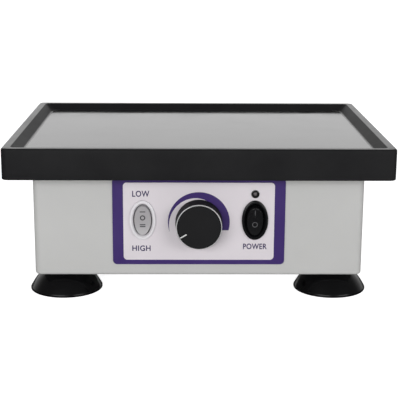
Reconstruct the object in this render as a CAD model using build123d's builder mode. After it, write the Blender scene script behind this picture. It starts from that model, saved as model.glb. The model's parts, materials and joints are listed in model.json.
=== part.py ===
"""Bench vibrating table for plaster work: a heavy sheet-metal body on suction feet, and a
rubber-covered table that an electromagnet shakes up and down on four rubber buffers.

Frame: millimetres, +Z up, front of the body towards -Y, origin on the bench under the middle
of the table. Every piece is modelled where it sits with the machine at rest and switched off.
"""
import os
from math import cos, radians, sin, tan

from build123d import *

os.makedirs("parts", exist_ok=True)

# ------------------------------------------------------------------ driving dimensions, mm
# Clearances
tray_clearance = 0.4         # rubber skirt around the table plate
cutout_clearance = 0.2       # panel cut-outs around what passes through them
thread_clearance = 0.05      # studs, screws and spigots in their holes, radial
running_clearance = 0.06     # turning shafts and trunnions, radial
moving_clearance = 0.3       # rockers and the fuse drawer in their wells
stop_clearance = 0.3         # between the parts that pass each other as the table shakes

# Rubber tray cover
overall_height = 109.0       # bench to the tray's rim
tray_overhang = 18.3         # beyond the body, all round
rim_width = 5.7              # flat land round the tray
rim_rise = 4.2               # rim above the tray's floor
tray_floor = 2.8             # rubber under the work
skirt_height = 21.5
skirt_thickness = 3.0
tray_corner_radius = 5.0
dish_run = 6.0               # inside of the rim slopes down to the floor over this distance
dish_corner_radius = 3.0     # at the rim
dish_floor_radius = 5.5      # at the floor
rim_outer_round = 1.5
rim_inner_round = 1.2
floor_cove = 2.0
skirt_hem_round = 0.8

# Steel table plate
plate_thickness = 3.0
plate_depth = 12.0           # folded edge, top to bottom
plate_corner_radius = 3.0
plate_fold_radius = 1.5
csk_head_radius = 5.0        # M5 countersunk screws, 90 degrees
csk_screw_radius = 2.5
csk_screw_length = 9.5
csk_recess = 0.15            # heads sit this far under the surface
csk_head_height = csk_head_radius - csk_screw_radius
hex_socket_radius = 1.6
hex_socket_depth = 1.2

# Body
body_length = 230.0          # along X
body_width = 170.0           # along Y
table_gap = 6.0              # between the body's top and the table plate
wall = 1.5
body_corner_radius = 4.5
body_edge_radius = 2.0
top_flange = 10.0            # inward flange round the open top

# Suction feet
foot_height = 15.3
foot_rim_radius = 25.7
foot_rim_edge = 1.5
foot_neck_radius = 12.0
foot_lip = 1.2               # flat under the rim
foot_hollow = 5.0
foot_bulge = 1.7             # how far the cone's side bows out
foot_inset = 20.0            # foot's axis, inside the body's sides
foot_stud_radius = 3.0
foot_stud_start = 8.0        # lower end of the stud, above the bench

# Base weight and the screws that hold it to the body
weight_clearance = 1.0       # inside the body's top opening, which it goes in by
weight_thickness = 12.0
weight_corner_radius = 6.0
base_screw_offset = 35.5     # from a foot's axis, towards the middle
base_screw_inset = 4.5       # inside the weight's edge
base_screw_radius = 2.0
base_screw_head_radius = 4.0
base_screw_head_height = 2.8
base_screw_length = 9.0
cross_recess = 4.4           # cross recess in the head, tip to tip
cross_recess_width = 1.0
cross_recess_depth = 1.4

# Support posts and rubber buffers
post_inset = 24.0            # post's axis, inside the weight's edges
post_radius = 8.0
spigot_radius = 3.0
spigot_length = 8.0
buffer_radius = 10.0
buffer_height = 18.0
buffer_waist = 0.8           # how far the rubber's side draws in
disc_thickness = 1.5
boss_radius = 4.5
boss_height = 8.0

# Electromagnet: an E-shaped core of laminations standing on a bracket
core_length = 60.0           # along X
core_depth = 40.0            # along Y, the height of the stack
core_yoke = 12.0             # back of the E
core_limb = 20.0             # middle limb, the outer ones are half as wide
core_slot = 10.0
bracket_thickness = 3.0
bracket_foot = 13.0          # foot beyond each cheek
bracket_corner_radius = 3.0
cheek_height = 24.0
magnet_screw_radius = 2.0
magnet_screw_head_radius = 3.8
magnet_screw_head_height = 2.6
magnet_screw_length = 9.0
magnet_screw_pitch_y = 26.0
core_bolt_radius = 2.0
core_bolt_head_radius = 3.5
core_bolt_head_height = 2.8
core_bolt_pitch_y = 24.0
bobbin_wall = 1.2
bobbin_clearance = 0.3
bobbin_slot_gap = 1.7        # flange to the core's outer limb
bobbin_corner_radius = 3.0
winding_inset = 0.5          # winding inside the bobbin's flanges
air_gap = 2.0
armature_thickness = 12.0
spacer_thickness = 7.2
armature_screw_pitch = 36.0

# Front panel: coloured plate, and a paler label on it
panel_length = 120.0
panel_bottom = 8.1           # above the underside of the body
panel_top = 7.6              # below the top of the body
panel_thickness = 0.6
panel_corner_radius = 3.0
label_side_border = 7.5
label_bottom_border = 3.4
label_top_border = 3.2
label_thickness = 0.3
label_corner_radius = 2.6

# Oval rocker switches
switch_x = 39.0
switch_rise = 1.25           # above the middle of the panel
bezel_lap = 1.0              # bezel beyond the neck, all round
bezel_thickness = 1.8
bezel_round = 0.9
funnel_spread = 1.0          # how much wider the well is at the bezel's face
funnel_depth = 1.5
switch_side_wall = 1.6       # neck beside the rocker's well
switch_end_wall = 1.9        # neck above and below it
switch_depth = 18.0
rocker_width = 12.6
rocker_height = 21.8
rocker_proud = 3.4           # tips of a level rocker, above the label
rocker_valley = 1.7          # how much lower the middle of its face is
rocker_back = 5.0            # behind the label
rocker_draft = 6.0           # degrees, taper of its sides
rocker_throw = 10.0          # degrees each way from level
rocker_well = 9.0            # depth of the well behind the label
pivot_depth = 2.0            # trunnion axis, behind the label
trunnion_radius = 1.0
trunnion_stub = 1.1          # trunnion beyond the rocker's side
tag_width = 4.8              # flat terminals
tag_thickness = 0.8
tag_length = 8.0
tag_pitch = 7.5

# Speed control and its knob
control_drop = 0.4           # axis, below the middle of the panel
shaft_radius = 3.0
bush_wall = 1.5
bush_proud = 2.2             # bush beyond its nut
washer_rim = 2.5             # washer beyond the bush
washer_thickness = 0.6
nut_wall = 1.5               # nut beyond the bush, at its flats
nut_thickness = 2.4
can_rim = 4.0                # can beyond the bush
can_depth = 9.0
can_back = 3.0               # behind the end of the shaft
shaft_end_gap = 0.5
lug_pitch = 5.0
lug_width = 2.0
lug_length = 10.0
lug_bite = 1.0               # how far a lug starts inside the can's edge
lug_thickness = 0.6
knob_base_radius = 16.4
knob_face_radius = 15.7
knob_length = 13.2
knob_gap = 0.8               # knob off the label
knob_wall = 1.8
knob_bush_gap = 0.6          # knob's insert in front of the bush
knob_bore_end = 1.0          # insert left in front of the shaft's hole
shaft_tip_gap = 0.2
knob_ring_chamfer = 0.5
knob_ring_band = 0.3
pointer_angle = 210.4        # degrees, anticlockwise from the right
pointer_start = 9.9          # from the axis
pointer_end_gap = 0.3        # from the ring
pointer_width = 0.9
pointer_depth = 0.5
pointer_proud = 0.05
grub_radius = 1.5
grub_length = 5.0
grub_setback = 8.0           # its axis, in front of the label

# Indicator lamp above the power rocker
lamp_rise = 18.55            # above the switch's centre
lamp_flange_radius = 2.85
lamp_flange_thickness = 0.9
lamp_neck_radius = 2.3
lamp_neck_length = 6.0
lamp_radius = 1.5
lamp_proud = 0.5
lamp_lead_pitch = 1.6
lamp_lead_radius = 0.3
lamp_lead_length = 8.0

# Mains inlet on the back, with its fuse drawer
inlet_x = 45.0
inlet_height = 36.0          # centre, above the underside of the body
inlet_flange_thickness = 3.0
inlet_flange_lap = 2.0       # flange above and below the opening
inlet_corner_radius = 4.0
inlet_edge_round = 0.8
inlet_screw_offset = 6.0     # screw's axis, beside the opening
inlet_screw_edge = 5.0       # screw's axis, inside the flange's end
inlet_screw_radius = 1.5
inlet_screw_head_radius = 2.8
inlet_screw_head_height = 1.8
inlet_screw_length = 8.0
inlet_wall = 1.8             # beside the socket
inlet_body_height = 30.0
inlet_body_depth = 20.0      # behind the flange's mounting face
socket_width = 24.4
socket_height = 16.4
socket_depth = 17.0
socket_rise = 5.0            # socket centre above the inlet's centre
socket_corner_chamfer = 3.6
blade_width = 2.0
blade_height = 4.0
blade_length = 15.0          # free length in the socket
blade_tail = 8.0             # behind the body
line_blade_pitch = 14.0
blade_stagger = 2.0          # earth above centre, the other two below
drawer_height = 7.6
drawer_corner_radius = 1.0
drawer_depth = 16.0
drawer_drop = 10.0           # drawer centre below the inlet's centre
drawer_front_thickness = 1.6
drawer_lip = 0.8
drawer_tray_wall = 0.8
fuse_radius = 2.5
fuse_length = 20.0
fuse_gap = 0.7               # at each end of the fuse

# Control board, flat beside the magnet
board_bracket_gap = 4.0      # from the magnet's bracket
board_edge_gap = 4.0         # inside the weight's edge
board_post_gap = 6.0         # from the posts
board_thickness = 1.6
board_corner_radius = 2.0
standoff_radius = 3.0
standoff_height = 8.0
standoff_inset = 4.5
standoff_stud_length = 6.0
board_screw_radius = 1.5
board_screw_head_radius = 2.7
board_screw_head_height = 1.8
board_screw_length = 6.0
sink_length = 34.0
sink_height = 26.0
sink_thickness = 2.0
sink_fin_depth = 9.0
sink_fin_thickness = 1.2
sink_fin_count = 5
sink_inset = 14.0            # its plate, inside the board's outer end
triac_width = 10.0
triac_height = 15.0
triac_thickness = 4.4
triac_lead_length = 4.0
triac_lead_pitch = 2.54
triac_lead_thickness = 0.6
triac_lead_width = 0.9
film_capacitor_length = 26.0
film_capacitor_width = 9.0
film_capacitor_height = 16.0
film_capacitor_inset = 14.0  # inside the board's front edge
film_capacitor_shift = 4.0   # from the board's middle, towards the magnet
case_round = 0.8
can_capacitor_radius = 6.5
can_capacitor_height = 20.0
can_capacitor_inset = 12.0   # inside the board's inner end
terminal_block_length = 30.0
terminal_block_width = 8.0
terminal_block_height = 10.0
terminal_ways = 6
terminal_block_inset = 1.0
terminal_hole_radius = 1.7
terminal_hole_depth = 3.0

# ------------------------------------------------------------------ sizes that follow
tray_length = body_length + 2 * tray_overhang
tray_width = body_width + 2 * tray_overhang
weight_length = body_length - 2 * (top_flange + weight_clearance)
weight_width = body_width - 2 * (top_flange + weight_clearance)
foot_pitch_x = body_length - 2 * foot_inset
foot_pitch_y = body_width - 2 * foot_inset
post_pitch_x = weight_length - 2 * post_inset
post_pitch_y = weight_width - 2 * post_inset
base_screw_pitch_x = foot_pitch_x - 2 * base_screw_offset
base_screw_pitch_y = weight_width - 2 * base_screw_inset
bracket_length = core_length + 2 * (bracket_thickness + bracket_foot)
winding_depth = core_slot - bobbin_clearance - bobbin_wall - bobbin_slot_gap
panel_stack = panel_thickness + label_thickness
switch_neck_width = rocker_width + 2 * (moving_clearance + switch_side_wall)
switch_neck_height = rocker_height + 2 * (moving_clearance + switch_end_wall)
bezel_width = switch_neck_width + 2 * bezel_lap
bezel_height = switch_neck_height + 2 * bezel_lap
trunnion_reach = rocker_width / 2 + trunnion_stub
bush_radius = shaft_radius + bush_wall
bush_front = washer_thickness + nut_thickness + bush_proud
bush_length = panel_stack + wall + bush_front
washer_radius = bush_radius + washer_rim
nut_flats = 2 * (bush_radius + nut_wall)
can_radius = bush_radius + can_rim
inlet_body_width = socket_width + 2 * inlet_wall
inlet_flange_height = inlet_body_height + 2 * inlet_flange_lap
inlet_screw_pitch = inlet_body_width + 2 * inlet_screw_offset
inlet_flange_width = inlet_screw_pitch + 2 * inlet_screw_edge
drawer_width = fuse_length + 2 * (drawer_tray_wall + fuse_gap)
board_inner_x = bracket_length / 2 + board_bracket_gap
board_outer_x = weight_length / 2 - board_edge_gap
board_x = (board_inner_x + board_outer_x) / 2
board_width = board_outer_x - board_inner_x
board_length = post_pitch_y - 2 * (post_radius + board_post_gap)

# ------------------------------------------------------------------ levels and planes
floor_z = overall_height - rim_rise              # tray floor
plate_top_z = floor_z - tray_floor
plate_under_z = plate_top_z - plate_thickness
skirt_bottom_z = overall_height - skirt_height
body_bottom_z = foot_height
body_top_z = plate_under_z - table_gap
body_height = body_top_z - body_bottom_z
weight_bottom_z = body_bottom_z + wall
weight_top_z = weight_bottom_z + weight_thickness
buffer_top_z = plate_under_z - disc_thickness
buffer_bottom_z = buffer_top_z - buffer_height
post_top_z = buffer_bottom_z - disc_thickness
core_bottom_z = weight_top_z + bracket_thickness
armature_top_z = plate_under_z - spacer_thickness
armature_bottom_z = armature_top_z - armature_thickness
core_height = armature_bottom_z - air_gap - core_bottom_z
panel_height = body_height - panel_bottom - panel_top
panel_centre_z = body_bottom_z + panel_bottom + panel_height / 2
switch_z = panel_centre_z + switch_rise
control_z = panel_centre_z - control_drop
lamp_z = switch_z + lamp_rise
label_length = panel_length - 2 * label_side_border
label_height = panel_height - label_bottom_border - label_top_border
label_centre_z = panel_centre_z + (label_bottom_border - label_top_border) / 2
inlet_z = body_bottom_z + inlet_height
board_bottom_z = weight_top_z + standoff_height
board_top_z = board_bottom_z + board_thickness

foot_places = [(x * foot_pitch_x / 2, y * foot_pitch_y / 2) for x in (-1, 1) for y in (-1, 1)]
post_places = [(x * post_pitch_x / 2, y * post_pitch_y / 2) for x in (-1, 1) for y in (-1, 1)]
base_screw_places = [
    (x * base_screw_pitch_x / 2, y * base_screw_pitch_y / 2) for x in (-1, 1) for y in (-1, 1)
]
magnet_screw_x = core_length / 2 + bracket_thickness + bracket_foot / 2
magnet_screw_places = [
    (x * magnet_screw_x, y * magnet_screw_pitch_y / 2) for x in (-1, 1) for y in (-1, 1)
]
standoff_places = [
    (board_x + x * (board_width / 2 - standoff_inset), y * (board_length / 2 - standoff_inset))
    for x in (-1, 1)
    for y in (-1, 1)
]
corner_names = ["front_left", "rear_left", "front_right", "rear_right"]


def label_plane(outward=0.0):
    """Plane parallel to the front, this far out from the label's face: local x is X, y is Z."""
    y = -body_width / 2 - panel_stack - outward
    return Plane(origin=(0, y, 0), x_dir=(1, 0, 0), z_dir=(0, -1, 0))


def rear_plane(outward=0.0):
    """Plane parallel to the back, this far out from the body: local x is -X, y is Z."""
    return Plane(origin=(0, body_width / 2 + outward, 0), x_dir=(-1, 0, 0), z_dir=(0, 1, 0))


def at(places, z):
    """The plan positions lifted to one level."""
    return [(x, y, z) for x, y in places]


def finish(part, name):
    """Label a finished piece and write its file."""
    part.label = name
    export_step(part, f"parts/{name}.step")


ABOVE = (Align.CENTER, Align.CENTER, Align.MIN)
BELOW = (Align.CENTER, Align.CENTER, Align.MAX)

# ------------------------------------------------------------------ rubber tray cover
with BuildPart() as tray_cover:
    with BuildSketch(Plane.XY.offset(skirt_bottom_z)):
        RectangleRounded(tray_length, tray_width, tray_corner_radius)
    extrude(amount=skirt_height)
    fillet(tray_cover.edges().group_by(Axis.Z)[-1], rim_outer_round)
    fillet(tray_cover.edges().group_by(Axis.Z)[0], skirt_hem_round)
    rim_inset = (overall_height, rim_width, dish_corner_radius)
    floor_inset = (floor_z, rim_width + dish_run, dish_floor_radius)
    for level, inset, radius in (rim_inset, floor_inset):
        with BuildSketch(Plane.XY.offset(level)):
            RectangleRounded(tray_length - 2 * inset, tray_width - 2 * inset, radius)
    loft(ruled=True, mode=Mode.SUBTRACT)
    fillet(tray_cover.edges(Select.LAST).group_by(Axis.Z)[-1], rim_inner_round)
    fillet(tray_cover.edges().filter_by_position(Axis.Z, floor_z, floor_z), floor_cove)
    with BuildSketch(Plane.XY.offset(skirt_bottom_z)):
        RectangleRounded(
            tray_length - 2 * skirt_thickness,
            tray_width - 2 * skirt_thickness,
            plate_corner_radius + tray_clearance,
        )
    extrude(amount=plate_top_z - skirt_bottom_z, mode=Mode.SUBTRACT)
finish(tray_cover.part, "tray_cover")

# ------------------------------------------------------------------ table plate and its screws
plate_length = tray_length - 2 * (skirt_thickness + tray_clearance)
plate_width = tray_width - 2 * (skirt_thickness + tray_clearance)
armature_screw_places = [(x * armature_screw_pitch / 2, 0) for x in (-1, 1)]

with BuildPart() as table_plate:
    with BuildSketch(Plane.XY.offset(plate_top_z)):
        RectangleRounded(plate_length, plate_width, plate_corner_radius)
    extrude(amount=-plate_depth)
    fillet(table_plate.edges().group_by(Axis.Z)[-1], plate_fold_radius)
    with BuildSketch(Plane.XY.offset(plate_under_z)):
        Rectangle(plate_length - 2 * plate_thickness, plate_width - 2 * plate_thickness)
    extrude(amount=-plate_depth, mode=Mode.SUBTRACT)
    with Locations(*at(post_places + armature_screw_places, plate_top_z)):
        CounterSinkHole(
            csk_screw_radius + cutout_clearance / 2,
            csk_head_radius + cutout_clearance,
            depth=plate_thickness + 1,
            counter_sink_angle=90,
        )
finish(table_plate.part, "table_plate")


def countersunk_screws(places, length, name):
    """Countersunk screws through the table plate, heads just under its top."""
    with BuildPart() as screws:
        with Locations(*at(places, plate_top_z - csk_recess)):
            Cone(csk_screw_radius, csk_head_radius, csk_head_height, align=BELOW)
        with Locations(*at(places, plate_top_z - csk_recess - csk_head_height)):
            Cylinder(csk_screw_radius, length - csk_head_height, align=BELOW)
        with Locations(*at(places, plate_top_z - csk_recess)):
            Cylinder(hex_socket_radius, hex_socket_depth, align=BELOW, mode=Mode.SUBTRACT)
    finish(screws.part, name)


armature_screw_length = plate_thickness + spacer_thickness + armature_thickness / 2
countersunk_screws(post_places, csk_screw_length, "buffer_screws")
countersunk_screws(armature_screw_places, armature_screw_length, "armature_screws")

# ------------------------------------------------------------------ support posts and buffers
with BuildPart() as support_posts:
    with Locations(*at(post_places, weight_top_z)):
        Cylinder(post_radius, post_top_z - weight_top_z, align=ABOVE)
        Cylinder(spigot_radius, spigot_length, align=BELOW)
    with Locations(*at(post_places, post_top_z)):
        Cylinder(spigot_radius + thread_clearance, spigot_length + 2, align=BELOW, mode=Mode.SUBTRACT)
finish(support_posts.part, "support_posts")

with BuildPart() as buffer_lower_discs:
    with Locations(*at(post_places, post_top_z)):
        Cylinder(buffer_radius, disc_thickness, align=ABOVE)
        Cylinder(spigot_radius, spigot_length, align=BELOW)
finish(buffer_lower_discs.part, "buffer_lower_discs")

with BuildPart() as buffer_upper_discs:
    with Locations(*at(post_places, plate_under_z)):
        Cylinder(buffer_radius, disc_thickness, align=BELOW)
        Cylinder(boss_radius, boss_height, align=BELOW)
        Cylinder(
            csk_screw_radius + thread_clearance, boss_height - 1, align=BELOW, mode=Mode.SUBTRACT
        )
finish(buffer_upper_discs.part, "buffer_upper_discs")

buffer_middle_z = (buffer_bottom_z + buffer_top_z) / 2
with BuildPart() as rubber_buffers:
    for post_x, post_y in post_places:
        with BuildSketch(Plane(origin=(post_x, post_y, 0), x_dir=(1, 0, 0), z_dir=(0, -1, 0))):
            with BuildLine():
                side_start = (buffer_radius, buffer_bottom_z)
                side_end = (buffer_radius, buffer_top_z)
                side_middle = (buffer_radius - buffer_waist, buffer_middle_z)
                ThreePointArc(side_start, side_middle, side_end)
                Polyline(side_end, (0, buffer_top_z), (0, buffer_bottom_z), side_start)
            make_face()
        revolve(axis=Axis((post_x, post_y, 0), (0, 0, 1)))
    with Locations(*at(post_places, buffer_top_z)):
        Cylinder(
            boss_radius + stop_clearance,
            boss_height - disc_thickness + 1,
            align=BELOW,
            mode=Mode.SUBTRACT,
        )
finish(rubber_buffers.part, "rubber_buffers")

# ------------------------------------------------------------------ armature under the plate
with BuildPart() as armature_spacer:
    with BuildSketch(Plane.XY.offset(armature_top_z)):
        Rectangle(core_length, core_depth)
    extrude(amount=plate_under_z - armature_top_z)
    with Locations(*at(armature_screw_places, plate_under_z)):
        Hole(csk_screw_radius + cutout_clearance / 2)
finish(armature_spacer.part, "armature_spacer")

with BuildPart() as armature_block:
    with BuildSketch(Plane.XY.offset(armature_bottom_z)):
        Rectangle(core_length, core_depth)
    extrude(amount=armature_thickness)
    with Locations(*at(armature_screw_places, armature_top_z)):
        Cylinder(
            csk_screw_radius + thread_clearance,
            armature_thickness / 2 + 1,
            align=BELOW,
            mode=Mode.SUBTRACT,
        )
finish(armature_block.part, "armature_block")

# ------------------------------------------------------------------ body
neck_cut_width = switch_neck_width + 2 * cutout_clearance
neck_cut_height = switch_neck_height + 2 * cutout_clearance
inner_floor_z = body_bottom_z + wall

with BuildPart() as housing:
    with BuildSketch(Plane.XY.offset(body_bottom_z)):
        RectangleRounded(body_length, body_width, body_corner_radius)
    extrude(amount=body_height)
    fillet(housing.edges().group_by(Axis.Z)[0], body_edge_radius)
    with BuildSketch(Plane.XY.offset(inner_floor_z)):
        RectangleRounded(body_length - 2 * wall, body_width - 2 * wall, body_corner_radius - wall)
    extrude(amount=body_height - 2 * wall, mode=Mode.SUBTRACT)
    inner_floor_edges = housing.edges().filter_by_position(Axis.Z, inner_floor_z, inner_floor_z)
    fillet(inner_floor_edges, body_edge_radius - wall)
    with BuildSketch(Plane.XY.offset(body_top_z)):
        RectangleRounded(
            body_length - 2 * top_flange, body_width - 2 * top_flange, body_corner_radius
        )
    extrude(amount=-2 * wall, mode=Mode.SUBTRACT)
    with BuildSketch(label_plane()):
        with Locations((-switch_x, switch_z), (switch_x, switch_z)):
            Ellipse(neck_cut_width / 2, neck_cut_height / 2)
        with Locations((0, control_z)):
            Circle(bush_radius + cutout_clearance)
        with Locations((switch_x, lamp_z)):
            Circle(lamp_neck_radius + cutout_clearance)
    extrude(amount=-(panel_stack + 3 * wall), mode=Mode.SUBTRACT)
    with BuildSketch(rear_plane()):
        with Locations((-inlet_x, inlet_z)):
            Rectangle(
                inlet_body_width + 2 * cutout_clearance, inlet_body_height + 2 * cutout_clearance
            )
            with GridLocations(inlet_screw_pitch, 0, 2, 1):
                Circle(inlet_screw_radius + thread_clearance)
    extrude(amount=-3 * wall, mode=Mode.SUBTRACT)
    with Locations(*at(foot_places, body_bottom_z)):
        Hole(foot_stud_radius + cutout_clearance)
    with Locations(*at(base_screw_places, body_bottom_z)):
        Hole(base_screw_radius + cutout_clearance)
finish(housing.part, "housing")

# ------------------------------------------------------------------ base weight and its screws
with BuildPart() as base_weight:
    with BuildSketch(Plane.XY.offset(weight_bottom_z)):
        RectangleRounded(weight_length, weight_width, weight_corner_radius)
    extrude(amount=weight_thickness)
    with Locations(*at(foot_places, weight_top_z)):
        Hole(foot_stud_radius + thread_clearance)
    with Locations(*at(post_places, weight_top_z)):
        Hole(spigot_radius + thread_clearance)
    with Locations(*at(base_screw_places, weight_top_z)):
        Hole(base_screw_radius + thread_clearance)
    with Locations(*at(magnet_screw_places, weight_top_z)):
        Hole(magnet_screw_radius + thread_clearance)
    with Locations(*at(standoff_places, weight_top_z)):
        Hole(board_screw_radius + thread_clearance)
finish(base_weight.part, "base_weight")

with BuildPart() as base_screws:
    with Locations(*at(base_screw_places, body_bottom_z)):
        Cylinder(base_screw_head_radius, base_screw_head_height, align=BELOW)
        Cylinder(base_screw_radius, base_screw_length, align=ABOVE)
    fillet(base_screws.edges().group_by(Axis.Z)[0], base_screw_head_height * 0.4)
    with BuildSketch(Plane.XY.offset(body_bottom_z - base_screw_head_height)):
        with Locations(*base_screw_places):
            Rectangle(cross_recess, cross_recess_width)
            Rectangle(cross_recess_width, cross_recess)
    extrude(amount=cross_recess_depth, mode=Mode.SUBTRACT)
finish(base_screws.part, "base_screws")

# ------------------------------------------------------------------ suction feet
for corner, (foot_x, foot_y) in zip(corner_names, foot_places):
    with BuildPart() as suction_foot:
        with BuildSketch(Plane(origin=(foot_x, foot_y, 0), x_dir=(1, 0, 0), z_dir=(0, -1, 0))):
            with BuildLine():
                cone_start = (foot_rim_radius, foot_rim_edge)
                cone_end = (foot_neck_radius, foot_height)
                cone_middle = (
                    (foot_rim_radius + foot_neck_radius) / 2 + foot_bulge * cos(radians(45)),
                    (foot_rim_edge + foot_height) / 2 + foot_bulge * sin(radians(45)),
                )
                lip = foot_rim_radius - foot_lip
                ThreePointArc(cone_start, cone_middle, cone_end)
                Polyline(cone_end, (0, foot_height), (0, foot_hollow))
                ThreePointArc((0, foot_hollow), (lip * 0.55, foot_hollow * 0.76), (lip, 0))
                Polyline((lip, 0), (foot_rim_radius, 0), cone_start)
            make_face()
        revolve(axis=Axis((foot_x, foot_y, 0), (0, 0, 1)))
        with Locations((foot_x, foot_y, foot_height)):
            Cylinder(
                foot_stud_radius + thread_clearance,
                foot_height - foot_stud_start,
                align=BELOW,
                mode=Mode.SUBTRACT,
            )
    finish(suction_foot.part, f"suction_foot_{corner}")

with BuildPart() as foot_studs:
    with Locations(*at(foot_places, foot_stud_start)):
        Cylinder(foot_stud_radius, weight_top_z - foot_stud_start - 1, align=ABOVE)
finish(foot_studs.part, "foot_studs")

# ------------------------------------------------------------------ electromagnet
cheek_x = core_length / 2 + bracket_thickness / 2
core_bolt_z = core_bottom_z + core_yoke / 2
core_bolt_places = [(0, y * core_bolt_pitch_y / 2, core_bolt_z) for y in (-1, 1)]

with BuildPart() as magnet_bracket:
    with BuildSketch(Plane.XY.offset(weight_top_z)):
        RectangleRounded(bracket_length, core_depth, bracket_corner_radius)
    extrude(amount=bracket_thickness)
    with BuildSketch(Plane.XY.offset(core_bottom_z)):
        with Locations((-cheek_x, 0), (cheek_x, 0)):
            Rectangle(bracket_thickness, core_depth)
    extrude(amount=cheek_height)
    with Locations(*at(magnet_screw_places, core_bottom_z)):
        Cylinder(
            magnet_screw_radius + cutout_clearance,
            bracket_thickness,
            align=BELOW,
            mode=Mode.SUBTRACT,
        )
    with Locations(*[Location(place, (0, 90, 0)) for place in core_bolt_places]):
        Cylinder(core_bolt_radius + cutout_clearance, bracket_length, mode=Mode.SUBTRACT)
finish(magnet_bracket.part, "magnet_bracket")

with BuildPart() as magnet_core:
    with BuildSketch(Plane.XY.offset(core_bottom_z)):
        Rectangle(core_length, core_depth)
    extrude(amount=core_height)
    with BuildSketch(Plane.XY.offset(core_bottom_z + core_yoke)):
        with Locations(*[(x * (core_limb + core_slot) / 2, 0) for x in (-1, 1)]):
            Rectangle(core_slot, core_depth)
    extrude(amount=core_height - core_yoke, mode=Mode.SUBTRACT)
    with Locations(*[Location(place, (0, 90, 0)) for place in core_bolt_places]):
        Cylinder(core_bolt_radius + cutout_clearance, core_length, mode=Mode.SUBTRACT)
finish(magnet_core.part, "magnet_core")

bolt_span = core_length + 2 * bracket_thickness
with BuildPart() as core_bolts:
    with Locations(*[Location(place, (0, 90, 0)) for place in core_bolt_places]):
        Cylinder(core_bolt_radius, bolt_span)
    for side in (-1, 1):
        head_x = side * (bolt_span + core_bolt_head_height) / 2
        with Locations(*[Location((head_x, y, z), (0, 90, 0)) for _, y, z in core_bolt_places]):
            Cylinder(core_bolt_head_radius, core_bolt_head_height)
finish(core_bolts.part, "core_bolts")

with BuildPart() as magnet_screws:
    with Locations(*at(magnet_screw_places, core_bottom_z)):
        Cylinder(magnet_screw_head_radius, magnet_screw_head_height, align=ABOVE)
        Cylinder(magnet_screw_radius, magnet_screw_length, align=BELOW)
finish(magnet_screws.part, "magnet_screws")

bobbin_bottom_z = core_bottom_z + core_yoke + bobbin_clearance
bobbin_height = core_height - core_yoke - 2 * bobbin_clearance
bobbin_hole_x = core_limb + 2 * bobbin_clearance
bobbin_hole_y = core_depth + 2 * bobbin_clearance
tube_x = bobbin_hole_x + 2 * bobbin_wall
tube_y = bobbin_hole_y + 2 * bobbin_wall
flange_x = tube_x + 2 * winding_depth
flange_y = tube_y + 2 * winding_depth
winding_height = bobbin_height - 2 * bobbin_wall

with BuildPart() as coil_bobbin:
    with BuildSketch(Plane.XY.offset(bobbin_bottom_z)):
        Rectangle(tube_x, tube_y)
    extrude(amount=bobbin_height)
    flange_levels = (bobbin_bottom_z, bobbin_bottom_z + bobbin_height - bobbin_wall)
    for level in flange_levels:
        with BuildSketch(Plane.XY.offset(level)):
            RectangleRounded(flange_x, flange_y, bobbin_corner_radius)
        extrude(amount=bobbin_wall)
    with BuildSketch(Plane.XY.offset(bobbin_bottom_z)):
        Rectangle(bobbin_hole_x, bobbin_hole_y)
    extrude(amount=bobbin_height, mode=Mode.SUBTRACT)
finish(coil_bobbin.part, "coil_bobbin")

with BuildPart() as coil_winding:
    with BuildSketch(Plane.XY.offset(bobbin_bottom_z + bobbin_wall)):
        RectangleRounded(
            flange_x - 2 * winding_inset, flange_y - 2 * winding_inset, bobbin_corner_radius
        )
        Rectangle(tube_x, tube_y, mode=Mode.SUBTRACT)
    extrude(amount=winding_height)
finish(coil_winding.part, "coil_winding")

# ------------------------------------------------------------------ front panel
def panel_openings(clearance):
    """Cut-outs that the switches, the control's bush and the lamp pass through."""
    with Locations((-switch_x, switch_z), (switch_x, switch_z)):
        Ellipse(
            switch_neck_width / 2 + clearance,
            switch_neck_height / 2 + clearance,
            mode=Mode.SUBTRACT,
        )
    with Locations((0, control_z)):
        Circle(bush_radius + clearance, mode=Mode.SUBTRACT)
    with Locations((switch_x, lamp_z)):
        Circle(lamp_neck_radius + clearance, mode=Mode.SUBTRACT)


with BuildPart() as panel_plate:
    with BuildSketch(label_plane(-label_thickness)):
        with Locations((0, panel_centre_z)):
            RectangleRounded(panel_length, panel_height, panel_corner_radius)
        panel_openings(cutout_clearance)
    extrude(amount=-panel_thickness)
finish(panel_plate.part, "panel_plate")

with BuildPart() as panel_label:
    with BuildSketch(label_plane()):
        with Locations((0, label_centre_z)):
            RectangleRounded(label_length, label_height, label_corner_radius)
        panel_openings(cutout_clearance)
    extrude(amount=-label_thickness)
finish(panel_label.part, "panel_label")


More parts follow.
